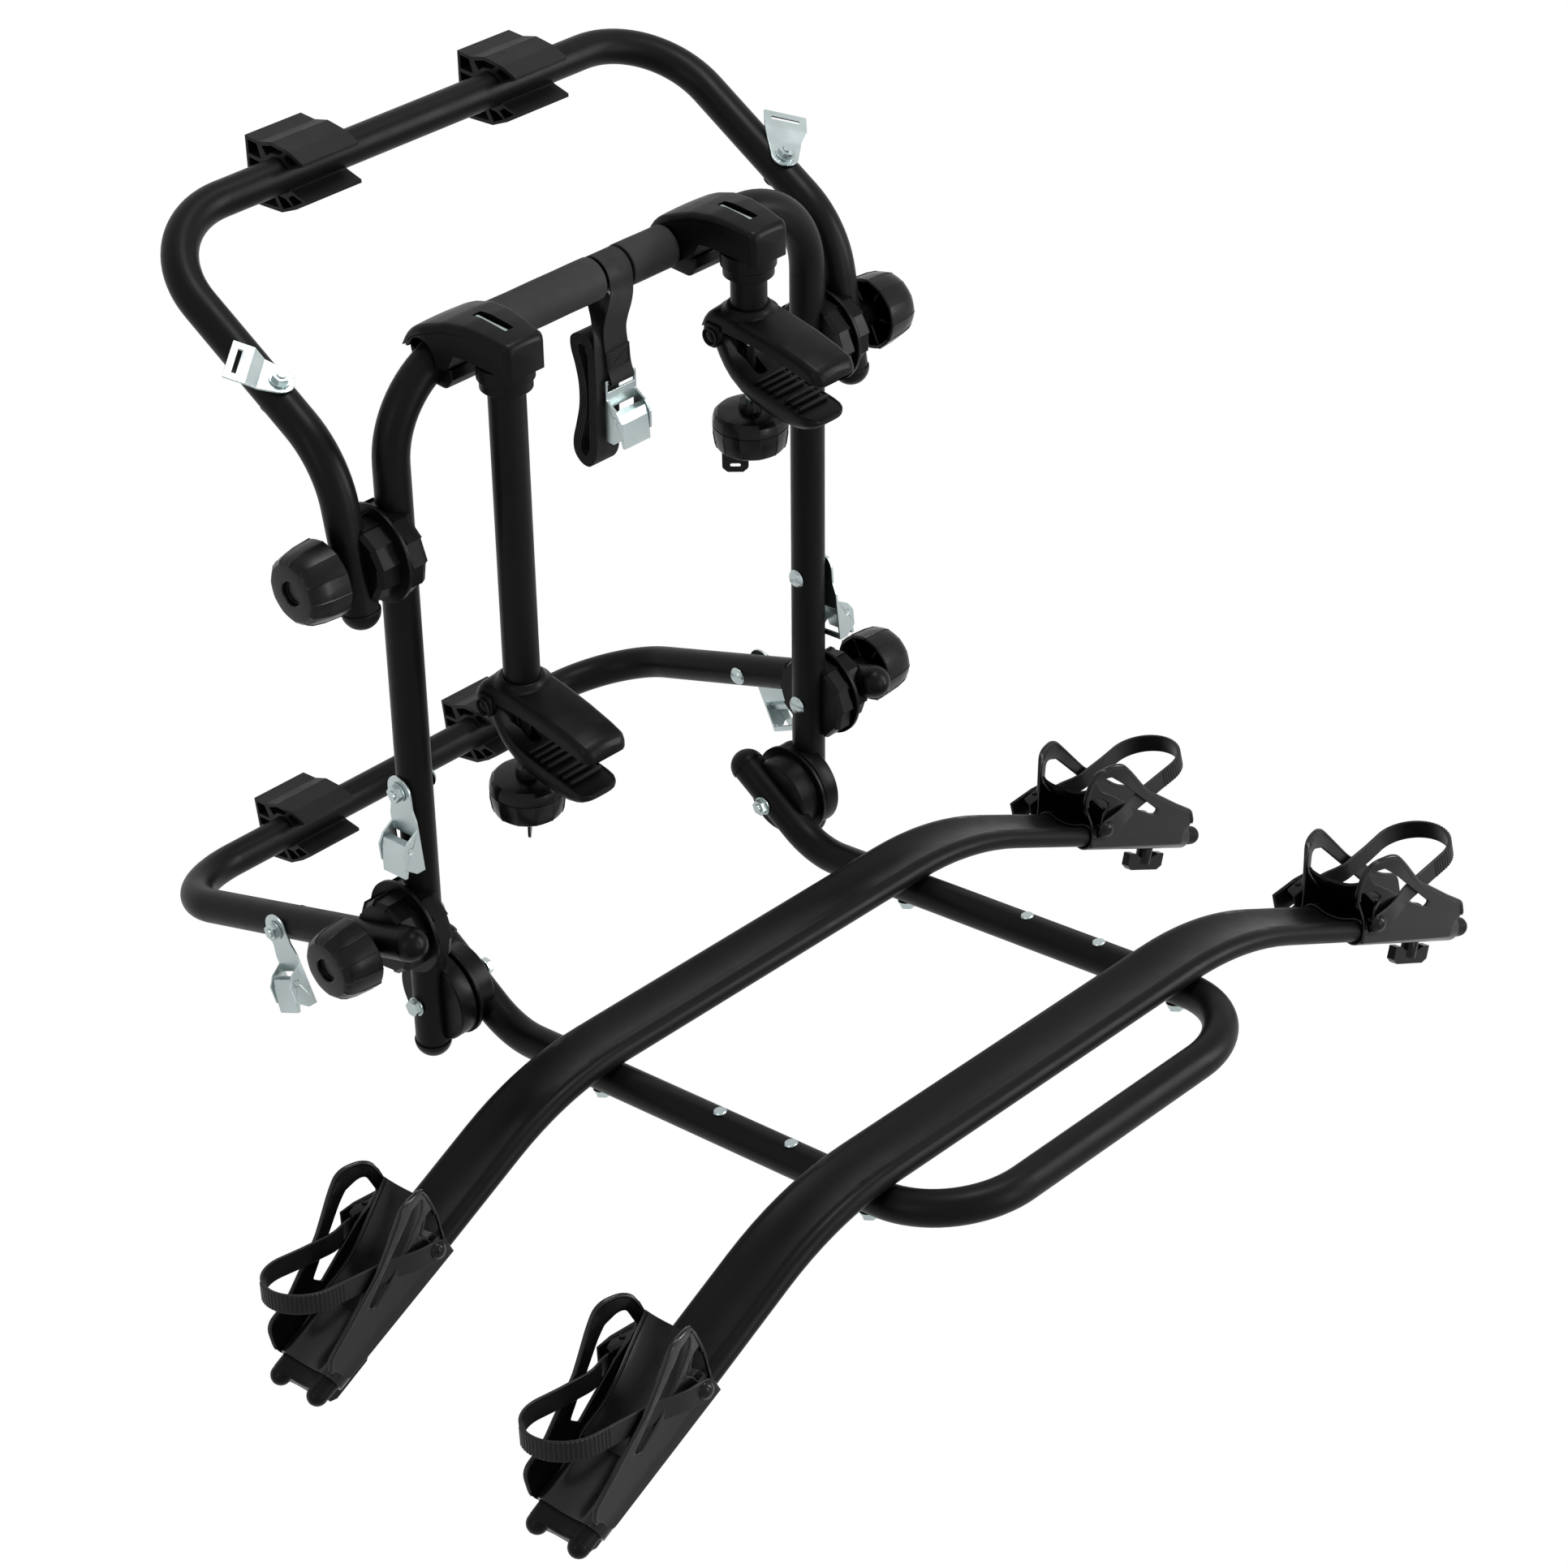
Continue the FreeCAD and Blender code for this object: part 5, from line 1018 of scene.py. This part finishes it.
# Retention strap
# One length of 25 mm woven webbing: it loops over the bar, is folded round the buckle's bar and box
# stitched, and its spare length is wound into a flat hank that hangs behind the buckle.
WEBBING_W = 25.0
WEBBING_T = 1.4
STRAP_X = 2.0
HANK_X = -18.5
BUCKLE_X = -7.5
BAR_BEND = 3.3
BAND_SECTION = ((-1, -0.5), (-0.97, -1), (0, -1), (0.97, -1), (1, -0.5), (1, 0.5), (0.97, 1), (0, 1),
                (-0.97, 1),
                (-1, 0.5))
HANK_EDGE = [(-18.7, 546), (-19.1, 520), (-18.7, 495), (-18.1, 470), (-16.1, 452), (-8.5, 441),
             (1.5, 440.5),
             (9.7, 448), (10.9, 460), (6.7, 476), (2.3, 495), (2.1, 514), (5.5, 530), (10.1, 544),
             (9.7, 555),
             (0.5, 561.5), (-10.5, 561), (-16.6, 556)]


def smooth_loop(points, steps):
    """Closed smooth curve through points in a plane."""
    curve = []
    count = len(points)
    for k in range(count):
        p0, p1, p2, p3 = (Vector(points[(k + j) % count]) for j in (-1, 0, 1, 2))
        for j in range(steps):
            t = j / steps
            curve.append(0.5 * (2 * p1 + (p2 - p0) * t + (2 * p0 - 5 * p1 + 4 * p2 - p3) * t ** 2
                                + (3 * p1 - p0 - 3 * p2 + p3) * t ** 3))
    return curve


def smooth_path(points, steps):
    """Smooth open curve through points, each a list of numbers."""
    path = []
    for k in range(len(points) - 1):
        quad = [points[min(max(k + j, 0), len(points) - 1)] for j in (-1, 0, 1, 2)]
        for j in range(steps):
            t = j / steps
            path.append([0.5 * (2 * b + (c - a) * t + (2 * a - 5 * b + 4 * c - d) * t ** 2
                                + (3 * b - a - 3 * c + d) * t ** 3) for a, b, c, d in zip(*quad)])
    path.append(list(points[-1]))
    return path


def hank_turns(turns, pitch):
    """Spiral from the hank's core out to its edge, as (y, z) points."""
    loop = smooth_loop(HANK_EDGE, 4)
    count = len(loop)
    inward = []
    for k in range(count):
        along = (loop[(k + 1) % count] - loop[k - 1]).normalized()
        inward.append(Vector((-along.y, along.x)))
    route = []
    total = turns * count
    for k in range(total + 1):
        depth = pitch * (1 - k / total) * turns
        route.append(loop[-k % count] + inward[-k % count] * depth)
    return route


def band(name, stations, width, thickness, material):
    """Flat webbing through (centre, across) stations, with the weave laid along it."""
    shape = bmesh.new()
    weave = shape.loops.layers.uv.new("weave")
    walked = 0.0
    rings = []
    marks = {}
    for k, (centre, across) in enumerate(stations):
        before, after = stations[max(k - 1, 0)][0], stations[min(k + 1, len(stations) - 1)][0]
        along = (after - before).normalized()
        across = (across - along * across.dot(along)).normalized()
        out = along.cross(across)
        if k:
            walked += (centre - stations[k - 1][0]).length
        ring = []
        for side, face in BAND_SECTION:
            ring.append((centre + across * side * width / 2 + out * face * thickness / 2,
                         (side * width / 2 * MM, walked * MM)))
        rings.append(ring)
    rows = add_loft(shape, [[place for place, mark in ring] for ring in rings])
    for row, ring in zip(rows, rings):
        for vert, (place, mark) in zip(row, ring):
            marks[vert] = mark
    for face in shape.faces:
        for corner in face.loops:
            corner[weave].uv = marks[corner.vert]
    return make_piece(name, shape, material, "main_frame")


def webbing_finish():
    """Plain weave of black polyester, with the picks standing up in a fine grid."""
    material, tree, shader = new_shader("webbing_weave")
    place = tree.nodes.new("ShaderNodeTexCoord")
    weave = tree.nodes.new("ShaderNodeTexChecker")
    weave.inputs["Scale"].default_value = 900
    weave.inputs["Color1"].default_value = (0.9, 0.9, 0.9, 1)
    weave.inputs["Color2"].default_value = (0.1, 0.1, 0.1, 1)
    tree.links.new(place.outputs["UV"], weave.inputs["Vector"])
    ramp = tree.nodes.new("ShaderNodeValToRGB")
    ramp.color_ramp.elements[0].color = (0.0035, 0.0035, 0.0038, 1)
    ramp.color_ramp.elements[1].color = (0.012, 0.012, 0.0125, 1)
    tree.links.new(weave.outputs["Fac"], ramp.inputs["Fac"])
    tree.links.new(ramp.outputs["Color"], shader.inputs["Base Color"])
    tree.links.new(spread(tree, grain(tree, 90.0), 0.55, 0.68), shader.inputs["Roughness"])
    dent(tree, shader, weave.outputs["Fac"], 0.00025, 0.8)
    shader.inputs["Specular IOR Level"].default_value = 0.2
    return material


webbing_weave = webbing_finish()
STRAP_SEAT = 17.0
LOOP_AT = Vector((BUCKLE_X, -22.5, 520.1))
side_way = Vector((1, 0, 0))
stations = [(Vector((HANK_X, y, z)), side_way) for y, z in hank_turns(5, 1.95)]
rear = [(-18.4, -18.9, 554, 0), (-17, -17, 562, -0.1), (-12, -9, 571, -0.3), (-4, 4, 579, -0.3),
        (1.5, 15.5, 589, -0.1),
        (STRAP_X, STRAP_SEAT + 0.6, 597, 0), (STRAP_X, STRAP_SEAT, BAR_Z, 0)]
for x, y, z, dip in smooth_path(rear, 5):
    stations.append((Vector((x, y, z)), Vector((1, 0, dip))))
for k in range(1, 20):
    angle = math.pi * k / 20
    stations.append((Vector((STRAP_X, STRAP_SEAT * math.cos(angle),
                             BAR_Z + STRAP_SEAT * math.sin(angle))), side_way))
front = [(STRAP_X, -STRAP_SEAT, BAR_Z, 0), (1.6, -17.6, 595, 0), (-1.0, -19.4, 587, -0.25),
         (-6.4, -21, 577.5, -0.42),
         (-10, -21.2, 567, -0.25), (-10.4, -21.2, 557, -0.05), (-9.2, -21.2, 546, 0),
         (-8.0, -20.8, 532, 0),
         (BUCKLE_X, -19.2, 520.1, 0)]
for x, y, z, dip in smooth_path(front, 6):
    stations.append((Vector((x, y, z)), Vector((1, 0, dip))))
for k in range(1, 9):
    angle = math.pi * k / 8
    stations.append((LOOP_AT + Vector((0, BAR_BEND * math.cos(angle), -BAR_BEND * math.sin(angle))),
                     side_way))
for x, y, z, dip in smooth_path([(BUCKLE_X, -25.8, 520.1, 0), (-8.0, -22.6, 531, 0),
                                 (-9.3, -22.8, 547.5, 0)], 5)[1:]:
    stations.append((Vector((x, y, z)), side_way))
strap = band("retention_webbing", stations, WEBBING_W, WEBBING_T, webbing_weave)
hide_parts("retention_strap")


def box_stitches():
    """Thread laid in a box with a cross, over the folded end."""
    thread = bmesh.new()
    corners = [(-10.2, 545.4), (10.2, 545.4), (10.2, 531), (-10.2, 531), (-10.2, 545.4), (10.2, 531),
               (10.2, 545.4),
               (-10.2, 531)]
    for start, stop in zip(corners, corners[1:]):
        start, stop = Vector(start), Vector(stop)
        pieces = int((stop - start).length / 2.6)
        for k in range(pieces):
            ends = [start.lerp(stop, (k + share) / pieces) for share in (0.12, 0.5, 0.88)]
            lift = (0.05, 0.5, 0.05)
            path = []
            for point, rise in zip(ends, lift):
                path.append(Vector((-8.7 + point.x, -23.45 - rise, point.y)))
            add_tube(thread, path, 0.32, 5)
    return thread


make_piece("strap_stitches", box_stitches(), foam_skin, "main_frame")

# Knobs
# The clamp and hinge knobs are hollow drums of glossy black nylon with twelve flat sides and a fine
# rib at each corner. Each turns on a nut moulded into it.


def ridged_drum(shape, profile, close=True):
    """Twelve-sided drum through (radius, height, ridge) points about local Z."""
    rings = []
    for radius, height, ridge in profile:
        ring = []
        for side in range(12):
            for share, lift in ((-0.035, 0), (-0.012, 1), (0.012, 1), (0.035, 0), (0.27, 0), (0.5, 0),
                                (0.73, 0)):
                angle = 2 * math.pi * (side + share) / 12
                off = (share % 1.0 - 0.5) * math.pi / 6
                r = radius * (1 + 0.35 * (math.cos(math.pi / 12) / math.cos(off) - 1)) + lift * ridge
                ring.append(Vector((r * math.cos(angle), r * math.sin(angle), height)))
        rings.append(ring)
    add_loft(shape, rings if close else rings + [rings[0]], closed=close)


KNOB_DEPTH = 36.0
NUT_DEEP = 16.0


def clamp_drum():
    """Drum with a rounded shoulder above its ribbed skirt, and a lock in its foot."""
    drum = bmesh.new()
    ridged_drum(drum, [(9, -60.5, 0), (10, -68.6, 0), (22, -69, 0), (27.6, -70.2, 0), (30.6, -73, 0),
                       (31.8, -77, 0),
                       (32.0, -80.4, 0), (31.4, -80.6, 0), (31.4, -81.4, 0), (32.0, -81.6, 0.1),
                       (31.6, -87, 0.6),
                       (30.2, -97, 0.6), (28.8, -101.4, 0.5), (27.0, -103, 0), (20, -103, 0),
                       (19, -102, 0),
                       (8.5, -102, 0), (8.2, -103, 0), (0.4, -103, 0)])
    return drum


def lock_key(turn, off):
    """Flat stamped key with a slotted bow, standing in the lock."""
    key = bmesh.new()
    bow = rounded([(-11, -124.5, 4), (-11, -108, 3.5), (-6, -102.2, 2), (6, -102.2, 2),
                   (11, -108, 3.5), (11, -124.5, 4),
                   (6.5, -128.5, 2), (-6.5, -128.5, 2)], 4)
    slot = rounded([(-4.4, -124, 1.6), (4.4, -124, 1.6), (4.4, -120.4, 1.6), (-4.4, -120.4, 1.6)], 4)
    upright = Matrix.Rotation(math.radians(turn), 4, "Z") @ Matrix.Translation((off, 0, 0))
    add_plate(key, bow, [slot], 2.4, 0.5, upright @ Matrix.Rotation(math.radians(90), 4, "X"))
    return key


for side, x in HEAD_X.items():
    place = Matrix.Translation((x, ARM_Y, CLAW_Z[side]))
    drum = make_piece("clamp_drum_" + side, clamp_drum(), gloss_black,
                      "clamp_knob_" + side, place, 28)
    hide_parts("clamp_knob_" + side)
    turn, off = (45, 0) if side == "left" else (-45, -13)
    make_piece("lock_key_" + side, lock_key(turn, off), gloss_black,
               "clamp_knob_" + side, place)


def hinge_drum(depth):
    """Open drum on a hub, with six webs inside it and a shallow pocket in its face."""
    drum = bmesh.new()
    inside = depth - 4.0
    ridged_drum(drum, [(30.6, 0, 0.0), (31.6, 0.3, 0.2), (32.4, 1.4, 0.6), (31.2, depth * 0.5, 0.6),
                       (29.2, depth * 0.78, 0.6), (27.0, depth * 0.92, 0.4), (24.4, depth * 0.985, 0),
                       (22, depth, 0), (11.2, depth, 0), (10.4, depth - 0.6, 0), (9.6, depth - 3.8, 0),
                       (9.4, inside, 0), (26.4, inside - 1, 0), (28.4, depth * 0.5, 0), (29.4, 1.0, 0)],
                close=False)
    add_turned(drum, [(5.2, -9.4), (10.4, -9.4), (11, -8.8), (11.2, inside), (5.2, inside)], sides=36)
    for k in range(6):
        web = rounded([(10.4, 2.4, 0.6), (28.6, 1.6, 0.4), (27.4, inside, 0.4), (10.4, inside, 0.4)], 2)
        turned_web = Matrix.Rotation(math.radians(60 * k + 30), 4,
                                     "Z") @ Matrix.Rotation(math.radians(90), 4, "X")
        add_plate(drum, web, [], 2.0, 0.5, turned_web)
    return drum


def pocket_nut():
    nut = bmesh.new()
    rings = []
    for radius, height in ((4.2, 0), (6.9, 0), (7.5, 0.5), (7.5, 6), (6.9, 6.5), (4.2, 6.5)):
        rings.append([Vector((radius * math.cos(math.radians(60 * k)),
                              radius * math.sin(math.radians(60 * k)), height))
                      for k in range(6)])
    add_loft(nut, rings + [rings[0]], closed=False)
    return nut


for hinge in ("upper", "lower"):
    for side in ("left", "right"):
        node = hinge + "_knob_" + side
        low, high = (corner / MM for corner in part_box(node))
        middle = (low + high) / 2
        sign = 1 if side == "right" else -1
        rim = (high.x if sign > 0 else low.x) - sign * KNOB_DEPTH
        place = Matrix.Translation((rim, middle.y,
                                    middle.z)) @ Matrix.Rotation(math.radians(90 * sign), 4, "Y")
        drum = make_piece("hinge_drum_" + hinge + "_" + side, hinge_drum(KNOB_DEPTH), gloss_black,
                          node, place, 28)
        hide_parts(node)
        nut_place = place @ Matrix.Translation((0, 0, KNOB_DEPTH - NUT_DEEP))
        make_piece("pocket_nut_" + hinge + "_" + side, pocket_nut(), zinc_plate, node,
                   nut_place)
